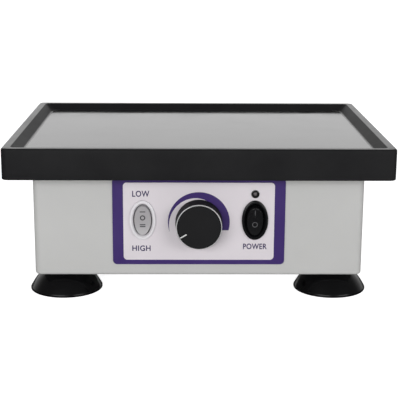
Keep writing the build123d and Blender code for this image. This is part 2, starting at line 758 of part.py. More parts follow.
# ------------------------------------------------------------------ rocker switches
def switch_body(centre_x, name):
    """Oval body with its bezel, the well that the rocker tips in, and the trunnion holes."""
    centre = (centre_x, switch_z)
    well_x = rocker_width / 2 + moving_clearance
    well_z = rocker_height / 2 + moving_clearance
    with BuildPart() as body:
        with BuildSketch(label_plane(bezel_thickness)):
            with Locations(centre):
                Ellipse(bezel_width / 2, bezel_height / 2)
        extrude(amount=-bezel_thickness)
        fillet(body.edges().group_by(Axis.Y)[0], bezel_round)
        with BuildSketch(label_plane()):
            with Locations(centre):
                Ellipse(switch_neck_width / 2, switch_neck_height / 2)
        extrude(amount=-switch_depth)
        with BuildSketch(label_plane(bezel_thickness)):
            with Locations(centre):
                Ellipse(well_x, well_z)
        extrude(amount=-(bezel_thickness + rocker_well), mode=Mode.SUBTRACT)
        for depth, spread in ((0, funnel_spread), (funnel_depth, 0)):
            with BuildSketch(label_plane(bezel_thickness - depth)):
                with Locations(centre):
                    Ellipse(well_x + spread, well_z + spread)
        loft(ruled=True, mode=Mode.SUBTRACT)
        pivot = label_plane(-pivot_depth).origin + Vector(centre_x, 0, switch_z)
        with Locations(Location(tuple(pivot), (0, 90, 0))):
            Cylinder(
                trunnion_radius + running_clearance,
                2 * (trunnion_reach + moving_clearance),
                mode=Mode.SUBTRACT,
            )
    finish(body.part, name)


def rocker(centre_x, tilt, name):
    """Tapered oval rocker with a shallow valley across its face and a trunnion each side.
    Positive tilt, in degrees, brings the top out and the bottom in."""
    pivot = label_plane(-pivot_depth).origin + Vector(centre_x, 0, switch_z)
    outward = Vector(0, -cos(radians(tilt)), -sin(radians(tilt)))
    tip = rocker_proud + pivot_depth
    half = rocker_height / 2
    valley_radius = (half**2 + rocker_valley**2) / (2 * rocker_valley)
    valley_centre = pivot + outward * (tip - rocker_valley + valley_radius)
    with BuildPart() as paddle:
        for reach in (pivot_depth - rocker_back, 0, tip):
            inset = abs(reach) * tan(radians(rocker_draft))
            with BuildSketch(Plane(origin=pivot + outward * reach, x_dir=(1, 0, 0), z_dir=outward)):
                Ellipse(rocker_width / 2 - inset, half - inset)
        loft(ruled=True)
        with Locations(Location(tuple(valley_centre), (0, 90, 0))):
            Cylinder(valley_radius, 2 * rocker_width, mode=Mode.SUBTRACT)
        with Locations(Location(tuple(pivot), (0, 90, 0))):
            Cylinder(trunnion_radius, 2 * trunnion_reach)
    finish(paddle.part, name)


def switch_tags(centre_x, count, name):
    """Flat terminals, one above the other, standing out of the back of a switch."""
    with BuildPart() as tags:
        with BuildSketch(label_plane(-switch_depth)):
            with Locations((centre_x, switch_z)):
                with GridLocations(0, tag_pitch, 1, count):
                    Rectangle(tag_width, tag_thickness)
        extrude(amount=-tag_length)
    finish(tags.part, name)


switch_body(-switch_x, "mode_switch_body")
switch_body(switch_x, "power_switch_body")
rocker(-switch_x, 0, "mode_rocker")
rocker(switch_x, rocker_throw, "power_rocker")
switch_tags(-switch_x, 3, "mode_switch_terminals")
switch_tags(switch_x, 2, "power_switch_terminals")

# ------------------------------------------------------------------ speed control
can_front = -(panel_stack + wall)                 # inner face of the body's front
control_axis = Axis((0, 0, control_z), (0, 1, 0))
shaft_tail = can_depth - can_back

with BuildPart() as control_can:
    with BuildSketch(label_plane(can_front)):
        with Locations((0, control_z)):
            Circle(can_radius)
    extrude(amount=-can_depth)
    with BuildSketch(label_plane(can_front)):
        with Locations((0, control_z)):
            Circle(shaft_radius + running_clearance)
    extrude(amount=-(shaft_tail + shaft_end_gap), mode=Mode.SUBTRACT)
finish(control_can.part, "control_can")

with BuildPart() as control_bush:
    with BuildSketch(label_plane(can_front)):
        with Locations((0, control_z)):
            Circle(bush_radius)
            Circle(shaft_radius + running_clearance, mode=Mode.SUBTRACT)
    extrude(amount=bush_length)
finish(control_bush.part, "control_bush")

with BuildPart() as control_washer:
    with BuildSketch(label_plane()):
        with Locations((0, control_z)):
            Circle(washer_radius)
            Circle(bush_radius + cutout_clearance, mode=Mode.SUBTRACT)
    extrude(amount=washer_thickness)
finish(control_washer.part, "control_washer")

with BuildPart() as control_nut:
    with BuildSketch(label_plane(washer_thickness)):
        with Locations((0, control_z)):
            RegularPolygon(nut_flats / 2, 6, major_radius=False)
            Circle(bush_radius + thread_clearance, mode=Mode.SUBTRACT)
    extrude(amount=nut_thickness)
finish(control_nut.part, "control_nut")

with BuildPart() as control_terminals:
    with BuildSketch(label_plane(can_front - can_depth / 2)):
        with Locations((0, control_z - can_radius + lug_bite - lug_length / 2)):
            with GridLocations(lug_pitch, 0, 3, 1):
                Rectangle(lug_width, lug_length)
        with Locations((0, control_z)):
            Circle(can_radius, mode=Mode.SUBTRACT)
    extrude(amount=-lug_thickness)
finish(control_terminals.part, "control_terminals")

knob_front = knob_gap + knob_length
shaft_front = knob_front - knob_wall - knob_bore_end
with BuildPart() as control_shaft:
    with BuildSketch(label_plane(can_front - shaft_tail)):
        with Locations((0, control_z)):
            Circle(shaft_radius)
    extrude(amount=shaft_front - can_front + shaft_tail)
finish(control_shaft.part, "control_shaft")


# ------------------------------------------------------------------ knob
knob_core_radius = knob_face_radius - knob_wall
knob_core_back = bush_front + knob_bush_gap
knob_core_front = knob_front - knob_wall
ring_inner_radius = knob_face_radius - knob_ring_chamfer
ring_depth = knob_ring_chamfer + knob_ring_band
grub_centre = label_plane(grub_setback).origin + Vector(0, 0, control_z)


def half_section(points):
    """Closed outline of (radius, distance out from the label), in the level plane of the shaft."""
    axis_plane = Plane(
        origin=label_plane().origin + Vector(0, 0, control_z), x_dir=(1, 0, 0), z_dir=(0, 0, 1)
    )
    with BuildSketch(axis_plane) as section:
        with BuildLine():
            Polyline(*[(radius, -out) for radius, out in points], close=True)
        make_face()
    return section.sketch


def radius_at(out):
    """Outer radius of the knob, which narrows evenly towards its face."""
    return knob_base_radius + (knob_face_radius - knob_base_radius) * (out - knob_gap) / knob_length


with BuildPart() as knob_shell:
    revolve(half_section([
        (0, knob_front),
        (ring_inner_radius, knob_front),
        (ring_inner_radius, knob_front - ring_depth),
        (radius_at(knob_front - ring_depth), knob_front - ring_depth),
        (knob_base_radius, knob_gap),
        (knob_core_radius, knob_gap),
        (knob_core_radius, knob_core_front),
        (0, knob_core_front),
    ]), axis=control_axis)
    with Locations(Location(tuple(grub_centre), (180, 0, 0))):
        Cylinder(
            grub_radius + cutout_clearance, 2 * knob_base_radius, align=ABOVE, mode=Mode.SUBTRACT
        )
    pointer_length = ring_inner_radius - pointer_end_gap - pointer_start
    pointer_middle = pointer_start + pointer_length / 2
    pointer_place = (
        pointer_middle * cos(radians(pointer_angle)),
        control_z + pointer_middle * sin(radians(pointer_angle)),
    )
    with BuildSketch(label_plane(knob_front)):
        with Locations(pointer_place):
            Rectangle(pointer_length, pointer_width, rotation=pointer_angle)
    extrude(amount=-pointer_depth, mode=Mode.SUBTRACT)
finish(knob_shell.part, "knob_shell")

with BuildPart() as knob_pointer:
    with BuildSketch(label_plane(knob_front + pointer_proud)):
        with Locations(pointer_place):
            Rectangle(pointer_length, pointer_width, rotation=pointer_angle)
    extrude(amount=-(pointer_depth + pointer_proud))
finish(knob_pointer.part, "knob_pointer")

with BuildPart() as knob_ring:
    revolve(half_section([
        (ring_inner_radius, knob_front),
        (knob_face_radius, knob_front - knob_ring_chamfer),
        (radius_at(knob_front - ring_depth), knob_front - ring_depth),
        (ring_inner_radius, knob_front - ring_depth),
    ]), axis=control_axis)
finish(knob_ring.part, "knob_ring")

with BuildPart() as knob_core:
    revolve(half_section([
        (shaft_radius + thread_clearance, knob_core_back),
        (knob_core_radius, knob_core_back),
        (knob_core_radius, knob_core_front),
        (0, knob_core_front),
        (0, shaft_front + shaft_tip_gap),
        (shaft_radius + thread_clearance, shaft_front + shaft_tip_gap),
    ]), axis=control_axis)
    with Locations(Location(tuple(grub_centre), (180, 0, 0))):
        Cylinder(
            grub_radius + thread_clearance, knob_base_radius, align=ABOVE, mode=Mode.SUBTRACT
        )
finish(knob_core.part, "knob_core")

with BuildPart() as knob_grub_screw:
    with Locations(grub_centre - Vector(0, 0, shaft_radius)):
        Cylinder(grub_radius, grub_length, align=BELOW)
finish(knob_grub_screw.part, "knob_grub_screw")

# ------------------------------------------------------------------ indicator lamp
with BuildPart() as indicator_bezel:
    with BuildSketch(label_plane(lamp_flange_thickness)):
        with Locations((switch_x, lamp_z)):
            Circle(lamp_flange_radius)
    extrude(amount=-lamp_flange_thickness)
    fillet(indicator_bezel.edges().group_by(Axis.Y)[0], lamp_flange_thickness * 0.6)
    with BuildSketch(label_plane()):
        with Locations((switch_x, lamp_z)):
            Circle(lamp_neck_radius)
    extrude(amount=-lamp_neck_length)
    with BuildSketch(label_plane(lamp_flange_thickness)):
        with Locations((switch_x, lamp_z)):
            Circle(lamp_radius + thread_clearance)
    extrude(amount=-(lamp_flange_thickness + lamp_neck_length), mode=Mode.SUBTRACT)
finish(indicator_bezel.part, "indicator_bezel")

with BuildPart() as indicator_lamp:
    with BuildSketch(label_plane(lamp_proud)):
        with Locations((switch_x, lamp_z)):
            Circle(lamp_radius)
    extrude(amount=-(lamp_proud + lamp_neck_length - 1))
    fillet(indicator_lamp.edges().group_by(Axis.Y)[0], lamp_radius * 0.8)
    with BuildSketch(label_plane(1 - lamp_neck_length)):
        with Locations((switch_x, lamp_z)):
            with GridLocations(lamp_lead_pitch, 0, 2, 1):
                Circle(lamp_lead_radius)
    extrude(amount=-lamp_lead_length)
finish(indicator_lamp.part, "indicator_lamp")

# ------------------------------------------------------------------ mains inlet
socket_z = inlet_z + socket_rise
drawer_z = inlet_z - drawer_drop
blade_places = [
    (-inlet_x - line_blade_pitch / 2, socket_z - blade_stagger),
    (-inlet_x, socket_z + blade_stagger),
    (-inlet_x + line_blade_pitch / 2, socket_z - blade_stagger),
]
socket_back = inlet_flange_thickness - socket_depth

with BuildPart() as inlet_housing:
    with BuildSketch(rear_plane()):
        with Locations((-inlet_x, inlet_z)):
            RectangleRounded(inlet_flange_width, inlet_flange_height, inlet_corner_radius)
    extrude(amount=inlet_flange_thickness)
    fillet(inlet_housing.edges().group_by(Axis.Y)[-1], inlet_edge_round)
    with BuildSketch(rear_plane()):
        with Locations((-inlet_x, inlet_z)):
            Rectangle(inlet_body_width, inlet_body_height)
    extrude(amount=-inlet_body_depth)
    with BuildSketch(rear_plane(inlet_flange_thickness)):
        with BuildLine():
            left = -inlet_x - socket_width / 2
            right = -inlet_x + socket_width / 2
            top = socket_z + socket_height / 2
            bottom = socket_z - socket_height / 2
            Polyline(
                (left, bottom),
                (right, bottom),
                (right, top - socket_corner_chamfer),
                (right - socket_corner_chamfer, top),
                (left + socket_corner_chamfer, top),
                (left, top - socket_corner_chamfer),
                close=True,
            )
        make_face()
    extrude(amount=-socket_depth, mode=Mode.SUBTRACT)
    with BuildSketch(rear_plane(inlet_flange_thickness)):
        with Locations((-inlet_x, drawer_z)):
            Rectangle(drawer_width + 2 * moving_clearance, drawer_height + 2 * moving_clearance)
    extrude(amount=-(drawer_depth + moving_clearance), mode=Mode.SUBTRACT)
    with BuildSketch(rear_plane(socket_back)):
        with Locations(*blade_places):
            Rectangle(blade_width, blade_height)
    extrude(amount=-inlet_body_depth, mode=Mode.SUBTRACT)
    with BuildSketch(rear_plane(inlet_flange_thickness)):
        with Locations((-inlet_x, inlet_z)):
            with GridLocations(inlet_screw_pitch, 0, 2, 1):
                Circle(inlet_screw_radius + thread_clearance)
    extrude(amount=-2 * inlet_flange_thickness, mode=Mode.SUBTRACT)
finish(inlet_housing.part, "inlet_housing")

with BuildPart() as inlet_pins:
    with BuildSketch(rear_plane(socket_back + blade_length)):
        with Locations(*blade_places):
            Rectangle(blade_width, blade_height)
    extrude(amount=-(blade_length + inlet_body_depth + socket_back + blade_tail))
finish(inlet_pins.part, "inlet_pins")

with BuildPart() as inlet_screws:
    with BuildSketch(rear_plane(inlet_flange_thickness)):
        with Locations((-inlet_x, inlet_z)):
            with GridLocations(inlet_screw_pitch, 0, 2, 1):
                Circle(inlet_screw_head_radius)
    extrude(amount=inlet_screw_head_height)
    fillet(inlet_screws.edges().group_by(Axis.Y)[-1], inlet_edge_round)
    with BuildSketch(rear_plane(inlet_flange_thickness)):
        with Locations((-inlet_x, inlet_z)):
            with GridLocations(inlet_screw_pitch, 0, 2, 1):
                Circle(inlet_screw_radius)
    extrude(amount=-inlet_screw_length)
finish(inlet_screws.part, "inlet_screws")

# The drawer is a shallow tray behind its front; the fuse lies across it.
fuse_y = body_width / 2 + inlet_flange_thickness - drawer_depth / 2
with BuildPart() as fuse_drawer:
    with BuildSketch(rear_plane(inlet_flange_thickness + moving_clearance)):
        with Locations((-inlet_x, drawer_z)):
            RectangleRounded(
                drawer_width + 2 * drawer_lip, drawer_height + 2 * drawer_lip, drawer_corner_radius
            )
    extrude(amount=drawer_front_thickness)
    with BuildSketch(rear_plane(inlet_flange_thickness + moving_clearance)):
        with Locations((-inlet_x, drawer_z)):
            Rectangle(drawer_width, drawer_height)
    extrude(amount=-drawer_depth)
    with Locations((inlet_x, fuse_y, drawer_z + drawer_tray_wall)):
        Box(
            drawer_width - 2 * drawer_tray_wall,
            drawer_depth - 2 * drawer_tray_wall - 1,
            drawer_height,
            mode=Mode.SUBTRACT,
        )
finish(fuse_drawer.part, "fuse_drawer")

with BuildPart() as fuse:
    fuse_z = drawer_z + drawer_tray_wall - drawer_height / 2 + fuse_radius
    with Locations(Location((inlet_x, fuse_y, fuse_z), (0, 90, 0))):
        Cylinder(fuse_radius, fuse_length)
finish(fuse.part, "fuse")

# ------------------------------------------------------------------ control board
with BuildPart() as board_standoffs:
    with Locations(*at(standoff_places, weight_top_z)):
        Cylinder(standoff_radius, standoff_height, align=ABOVE)
        Cylinder(board_screw_radius, standoff_stud_length, align=BELOW)
    with Locations(*at(standoff_places, board_bottom_z)):
        Cylinder(
            board_screw_radius + thread_clearance,
            board_screw_length,
            align=BELOW,
            mode=Mode.SUBTRACT,
        )
finish(board_standoffs.part, "board_standoffs")

with BuildPart() as control_board:
    with BuildSketch(Plane.XY.offset(board_bottom_z)):
        with Locations((board_x, 0)):
            RectangleRounded(board_width, board_length, board_corner_radius)
        with Locations(*standoff_places):
            Circle(board_screw_radius + thread_clearance, mode=Mode.SUBTRACT)
    extrude(amount=board_thickness)
finish(control_board.part, "control_board")

with BuildPart() as board_screws:
    with Locations(*at(standoff_places, board_top_z)):
        Cylinder(board_screw_head_radius, board_screw_head_height, align=ABOVE)
        Cylinder(board_screw_radius, board_screw_length, align=BELOW)
finish(board_screws.part, "board_screws")

sink_x = board_outer_x - sink_inset
sink_plane = Plane.XY.offset(board_top_z)
fin_pitch = (sink_length - sink_fin_thickness) / (sink_fin_count - 1)
with BuildPart() as heat_sink:
    with BuildSketch(sink_plane):
        with Locations((sink_x, 0)):
            Rectangle(sink_thickness, sink_length)
        with Locations((sink_x + sink_thickness / 2 + sink_fin_depth / 2, 0)):
            with GridLocations(0, fin_pitch, 1, sink_fin_count):
                Rectangle(sink_fin_depth, sink_fin_thickness)
    extrude(amount=sink_height)
finish(heat_sink.part, "heat_sink")

triac_x = sink_x - sink_thickness / 2 - triac_thickness / 2
with BuildPart() as triac:
    with BuildSketch(sink_plane.offset(triac_lead_length)):
        with Locations((triac_x, 0)):
            Rectangle(triac_thickness, triac_width)
    extrude(amount=triac_height)
    with BuildSketch(sink_plane):
        with Locations((triac_x, 0)):
            with GridLocations(0, triac_lead_pitch, 1, 3):
                Rectangle(triac_lead_thickness, triac_lead_width)
    extrude(amount=triac_lead_length)
finish(triac.part, "triac")

film_capacitor_y = film_capacitor_inset - board_length / 2
with BuildPart() as film_capacitor:
    with BuildSketch(sink_plane):
        with Locations((board_x - film_capacitor_shift, film_capacitor_y)):
            Rectangle(film_capacitor_length, film_capacitor_width)
    extrude(amount=film_capacitor_height)
    fillet(film_capacitor.edges().filter_by(Axis.Z), case_round)
finish(film_capacitor.part, "film_capacitor")

with BuildPart() as can_capacitor:
    with Locations((board_inner_x + can_capacitor_inset, 0, board_top_z)):
        Cylinder(can_capacitor_radius, can_capacitor_height, align=ABOVE)
    fillet(can_capacitor.edges().group_by(Axis.Z)[-1], case_round)
finish(can_capacitor.part, "can_capacitor")

block_y = board_length / 2 - terminal_block_width / 2 - terminal_block_inset
block_pitch = terminal_block_length / terminal_ways
with BuildPart() as terminal_block:
    with BuildSketch(sink_plane):
        with Locations((board_x, block_y)):
            Rectangle(terminal_block_length, terminal_block_width)
    extrude(amount=terminal_block_height)
    with BuildSketch(sink_plane.offset(terminal_block_height)):
        with Locations((board_x, block_y)):
            with GridLocations(block_pitch, 0, terminal_ways, 1):
                Circle(terminal_hole_radius)
    extrude(amount=-terminal_hole_depth, mode=Mode.SUBTRACT)
finish(terminal_block.part, "terminal_block")
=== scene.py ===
# %% [markdown]
# # A bench vibrating table, finished in Blender
# The machine shakes plaster moulds until the bubbles rise. A rimmed black rubber tray sits on a
# steel plate, the plate stands on rubber buffers inside a grey painted box, and an electromagnet
# pulls it down many times a second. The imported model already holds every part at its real
# size. This script dresses those parts, and re-makes the few whose soft shape matters most.

# %% Load the fixed frame
import json
from math import cos, radians, sin, tan

import bpy
import numpy as np
from mathutils import Matrix, Vector


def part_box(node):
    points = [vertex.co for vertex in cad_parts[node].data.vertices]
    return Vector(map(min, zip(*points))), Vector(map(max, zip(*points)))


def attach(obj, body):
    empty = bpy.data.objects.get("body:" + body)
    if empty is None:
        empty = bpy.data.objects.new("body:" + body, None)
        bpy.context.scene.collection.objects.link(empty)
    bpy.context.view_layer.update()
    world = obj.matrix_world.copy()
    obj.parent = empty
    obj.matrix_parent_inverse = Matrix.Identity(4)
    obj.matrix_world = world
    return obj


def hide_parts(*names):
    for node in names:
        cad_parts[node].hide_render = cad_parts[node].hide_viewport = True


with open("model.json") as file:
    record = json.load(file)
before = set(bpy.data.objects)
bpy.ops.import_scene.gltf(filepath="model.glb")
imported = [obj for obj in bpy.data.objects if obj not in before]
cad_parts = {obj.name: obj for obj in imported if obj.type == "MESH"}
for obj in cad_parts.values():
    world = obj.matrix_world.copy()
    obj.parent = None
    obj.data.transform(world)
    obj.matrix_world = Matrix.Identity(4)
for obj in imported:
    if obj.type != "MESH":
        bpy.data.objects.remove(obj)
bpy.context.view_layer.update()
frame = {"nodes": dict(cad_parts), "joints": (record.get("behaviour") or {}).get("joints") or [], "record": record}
MM = 0.001

# %% [markdown]
# Real mouldings are surfaces, so each new piece is worked out as one: a grid of points that is a
# function of two numbers. One number runs round a closed ring, the other from ring to ring. A
# single helper skins any such stack of rings. It could be done with modelling operators, but the
# formula keeps the shape exact and easy to change.

# %% Skin a stack of rings
def shade(mesh, angle=38):
    """Smooth shading, with edges kept crisp where faces meet at more than this many degrees."""
    mesh.polygons.foreach_set("use_smooth", np.ones(len(mesh.polygons), bool))
    mesh.set_sharp_from_angle(angle=radians(angle))


def signed_volume(points, triangles):
    """Sum of the tetrahedra from the origin to each triangle: positive if faces point out."""
    a, b, c = (points[triangles[:, i]] for i in range(3))
    return float(np.einsum("ij,ij->i", a, np.cross(b, c)).sum() / 6)


def skin(name, rings, poles=(None, None), around_again=False):
    """Mesh over rings, an array of shape (rings, points round, 3). Quad (i, j) joins points j and
    j+1 of rings i and i+1. A pole closes an end with a fan, and around_again joins the last ring
    to the first."""
    rings = np.asarray(rings, float)
    rows, around = rings.shape[:2]
    index = np.arange(rows * around).reshape(rows, around)
    if around_again:
        index = np.vstack([index, index[:1]])
    ahead = np.roll(index, -1, axis=1)
    quads = np.stack([index[:-1], ahead[:-1], ahead[1:], index[1:]], axis=-1).reshape(-1, 4)
    points = rings.reshape(-1, 3)
    fans = np.empty((0, 3), int)
    for pole, here, there in ((poles[0], ahead[0], index[0]), (poles[1], index[-1], ahead[-1])):
        if pole is not None:
            points = np.vstack([points, pole])
            tip = np.full(around, len(points) - 1)
            fans = np.vstack([fans, np.stack([here, there, tip], axis=-1)])
    middle = points.mean(axis=0)
    triangles = np.vstack([quads[:, [0, 1, 2]], quads[:, [0, 2, 3]], fans])
    if signed_volume(points - middle, triangles) < 0:
        quads, fans = quads[:, ::-1], fans[:, ::-1]
    mesh = bpy.data.meshes.new(name)
    mesh.from_pydata(points.tolist(), [], quads.tolist() + fans.tolist())
    shade(mesh)
    return mesh


def arc(centre, radius, start, end, steps=6):
    """Points of a circular arc in a profile's plane, from one angle in degrees to another."""
    angles = np.radians(np.linspace(start, end, steps))
    return np.stack([centre[0] + radius * np.cos(angles), centre[1] + radius * np.sin(angles)], -1)


def add_piece(name, mesh, body, slot, replaces=()):
    """Put a finished mesh in the scene and say what it rides on and what it replaces; slot is not used."""
    piece = bpy.data.objects.new(name, mesh)
    bpy.context.scene.collection.objects.link(piece)
    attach(piece, body)
    if replaces:
        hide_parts(*replaces)
    return piece


# %% [markdown]
# ## Shared effects
# Moulded rubber, powder coat and turned metal all carry a fine relief, and every handled surface
# is a little less glossy in places. Relief, handled patches and lathe marks are built once as
# node groups and then placed in each material with that material's own scale and strength. They
# could be painted, but noise on object coordinates is the same from every side and needs no image.

# %% Node group helpers
def new_group(name, inputs, outputs):
    """An empty shader node group with float or vector sockets, as name: (type, default)."""
    group = bpy.data.node_groups.new(name, "ShaderNodeTree")
    for label, (kind, default) in inputs.items():
        socket = group.interface.new_socket(label, in_out="INPUT", socket_type=kind)
        if default is not None:
            socket.default_value = default
    for label, kind in outputs.items():
        group.interface.new_socket(label, in_out="OUTPUT", socket_type=kind)
    entry = group.nodes.new("NodeGroupInput")
    leave = group.nodes.new("NodeGroupOutput")
    return group, entry, leave


def math_node(tree, operation, first, second=None, third=None):
    """One Math node. Each operand is a socket or a plain number."""
    node = tree.nodes.new("ShaderNodeMath")
    node.operation = operation
    for slot, operand in enumerate((first, second, third)):
        if isinstance(operand, bpy.types.NodeSocket):
            tree.links.new(operand, node.inputs[slot])
        elif operand is not None:
            node.inputs[slot].default_value = operand
    return node.outputs[0]


def noise_node(tree, vector, scale, detail=3.0, roughness=0.55):
    """Noise value of a vector, with scale as a socket or a number."""
    node = tree.nodes.new("ShaderNodeTexNoise")
    node.inputs["Detail"].default_value = detail
    node.inputs["Roughness"].default_value = roughness
    tree.links.new(vector, node.inputs["Vector"])
    if isinstance(scale, bpy.types.NodeSocket):
        tree.links.new(scale, node.inputs["Scale"])
    else:
        node.inputs["Scale"].default_value = scale
    return node.outputs["Fac"]


FLOAT, VECTOR = "NodeSocketFloat", "NodeSocketVector"
FINER = 4.0             # the second noise is this many times finer than the first
FINE_SHARE = 0.35       # and this much as high
RELIEF_LEVEL = 0.74     # brings the sum of the two back to about 0..1
PATCH_SCALE = 28.0      # handled patches per metre
PATCH_FROM, PATCH_TO = 0.35, 0.65    # the part of the noise that is spread over 0..1


def make_skin_grain():
    """Fine relief: a coarse and a finer noise, mixed; height runs from about 0 to 1."""
    group, entry, leave = new_group(
        "fine_relief", {"Vector": (VECTOR, None), "Scale": (FLOAT, 2000.0)}, {"Height": FLOAT}
    )
    coarse = noise_node(group, entry.outputs["Vector"], entry.outputs["Scale"])
    finer_scale = math_node(group, "MULTIPLY", entry.outputs["Scale"], FINER)
    fine = noise_node(group, entry.outputs["Vector"], finer_scale, detail=1.0)
    mixed = math_node(group, "MULTIPLY_ADD", fine, FINE_SHARE, coarse)
    level = math_node(group, "MULTIPLY", mixed, RELIEF_LEVEL)
    group.links.new(level, leave.inputs["Height"])
    return group


def make_handling():
    """Wiped, handled patches: a broad noise pushed to 0..1, mapped between two values."""
    group, entry, leave = new_group(
        "handling",
        {"Vector": (VECTOR, None), "Low": (FLOAT, 0.3), "High": (FLOAT, 0.4)},
        {"Value": FLOAT, "Mask": FLOAT},
    )
    broad = noise_node(group, entry.outputs["Vector"], PATCH_SCALE, detail=5.0, roughness=0.6)
    spread = group.nodes.new("ShaderNodeMapRange")
    spread.inputs["From Min"].default_value = PATCH_FROM
    spread.inputs["From Max"].default_value = PATCH_TO
    group.links.new(broad, spread.inputs["Value"])
    span = math_node(group, "SUBTRACT", entry.outputs["High"], entry.outputs["Low"])
    value = math_node(group, "MULTIPLY_ADD", spread.outputs["Result"], span, entry.outputs["Low"])
    group.links.new(value, leave.inputs["Value"])
    group.links.new(spread.outputs["Result"], leave.inputs["Mask"])
    return group


def make_turning():
    """Lathe marks: distance from the local Z axis, stretched into fine rings of noise."""
    group, entry, leave = new_group(
        "turning_marks", {"Vector": (VECTOR, None), "Pitch": (FLOAT, 6000.0)}, {"Height": FLOAT}
    )
    split = group.nodes.new("ShaderNodeSeparateXYZ")
    group.links.new(entry.outputs["Vector"], split.inputs[0])
    square = math_node(group, "MULTIPLY", split.outputs["X"], split.outputs["X"])
    total = math_node(group, "MULTIPLY_ADD", split.outputs["Y"], split.outputs["Y"], square)
    radius = math_node(group, "SQRT", total)
    join = group.nodes.new("ShaderNodeCombineXYZ")
    group.links.new(math_node(group, "MULTIPLY", radius, entry.outputs["Pitch"]), join.inputs["X"])
    rings = noise_node(group, join.outputs[0], 1.0, detail=2.0)
    group.links.new(rings, leave.inputs["Height"])
    return group


SKIN_GRAIN = make_skin_grain()
HANDLING = make_handling()
TURNING = make_turning()
print("effect groups:", [g.name for g in bpy.data.node_groups])

# %% [markdown]
# ## Finishes
# Each finish is a Principled material. Steady numbers sit on the shader itself. Only what changes
# over the surface is linked: a faint tone variation, the handled patches in the roughness, and
# the relief through a Bump node. One function writes all but the tray's rubber, because the
# differences between paint, plastic and metal here are differences of number, not of kind.

# %% One function for every solid finish
COAT_ROUGHNESS = 0.08
LEAST_ROUGHNESS = 0.02


def finish(
    name,
    colour,
    roughness,
    metallic=0.0,
    relief=2000.0,
    depth=0.02,
    tone=0.06,
    spread=0.06,
    coat=0.0,
    ior=1.5,
    specular=0.5,
    stretch=None,
    turned=None,
):
    """A material: colour varies by +-tone, roughness by +-spread, bumps are depth mm high at
    relief per metre. stretch scales the pattern's axes; turned is the centre and pitch of lathe
    marks about the Y axis."""
    material = bpy.data.materials.new(name)
    material.use_nodes = True
    tree = material.node_tree
    shader = tree.nodes["Principled BSDF"]
    shader.inputs["Metallic"].default_value = metallic
    shader.inputs["IOR"].default_value = ior
    shader.inputs["Specular IOR Level"].default_value = specular
    shader.inputs["Coat Weight"].default_value = coat
    shader.inputs["Coat Roughness"].default_value = COAT_ROUGHNESS
    place = tree.nodes.new("ShaderNodeTexCoord").outputs["Object"]
    if stretch is not None:
        mapping = tree.nodes.new("ShaderNodeMapping")
        mapping.inputs["Scale"].default_value = stretch
        tree.links.new(place, mapping.inputs["Vector"])
        place = mapping.outputs["Vector"]

    handled = tree.nodes.new("ShaderNodeGroup")
    handled.node_tree = HANDLING
    handled.inputs["Low"].default_value = max(LEAST_ROUGHNESS, roughness - spread)
    handled.inputs["High"].default_value = roughness + spread
    tree.links.new(place, handled.inputs["Vector"])
    tree.links.new(handled.outputs["Value"], shader.inputs["Roughness"])

    blend = tree.nodes.new("ShaderNodeMix")
    blend.data_type = "RGBA"
    blend.inputs["A"].default_value = (*[channel * (1 - tone) for channel in colour], 1)
    blend.inputs["B"].default_value = (*[min(1, channel * (1 + tone)) for channel in colour], 1)
    tree.links.new(handled.outputs["Mask"], blend.inputs["Factor"])
    tree.links.new(blend.outputs["Result"], shader.inputs["Base Color"])

    bump = tree.nodes.new("ShaderNodeBump")
    bump.inputs["Strength"].default_value = 1.0
    bump.inputs["Distance"].default_value = depth * MM
    marks = tree.nodes.new("ShaderNodeGroup")
    if turned is None:
        marks.node_tree = SKIN_GRAIN
        marks.inputs["Scale"].default_value = relief
        tree.links.new(place, marks.inputs["Vector"])
    else:
        centre, pitch = turned
        upright = radians(90)
        centring = tree.nodes.new("ShaderNodeMapping")
        centring.inputs["Rotation"].default_value = (upright, 0, 0)
        centring.inputs["Location"].default_value = Matrix.Rotation(upright, 3, "X") @ -centre
        tree.links.new(place, centring.inputs["Vector"])
        marks.node_tree = TURNING
        marks.inputs["Pitch"].default_value = pitch
        tree.links.new(centring.outputs["Vector"], marks.inputs["Vector"])
    tree.links.new(marks.outputs["Height"], bump.inputs["Height"])
    tree.links.new(bump.outputs["Normal"], shader.inputs["Normal"])
    return material


# %% [markdown]
# The knob's face was turned on a lathe, so its marks are rings about the shaft. The sheet metal
# inside was rolled, so its grain is long and thin: the pattern is stretched along one axis.

# %% The finishes of this machine
knob_low, knob_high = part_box("knob_shell")
knob_centre = (knob_low + knob_high) / 2
BRUSHED = (0.06, 1.0, 1.0)         # grain along X
LAMINATED = (0.05, 8.0, 0.05)      # fine layers stacked along Y
EXTRUDED = (1, 1, 0.05)            # lines along Z
WOUND = (0.02, 0.02, 1.0)          # turns stacked along Z
steel = dict(metallic=1.0, relief=5200, depth=0.006, tone=0.05, spread=0.08)

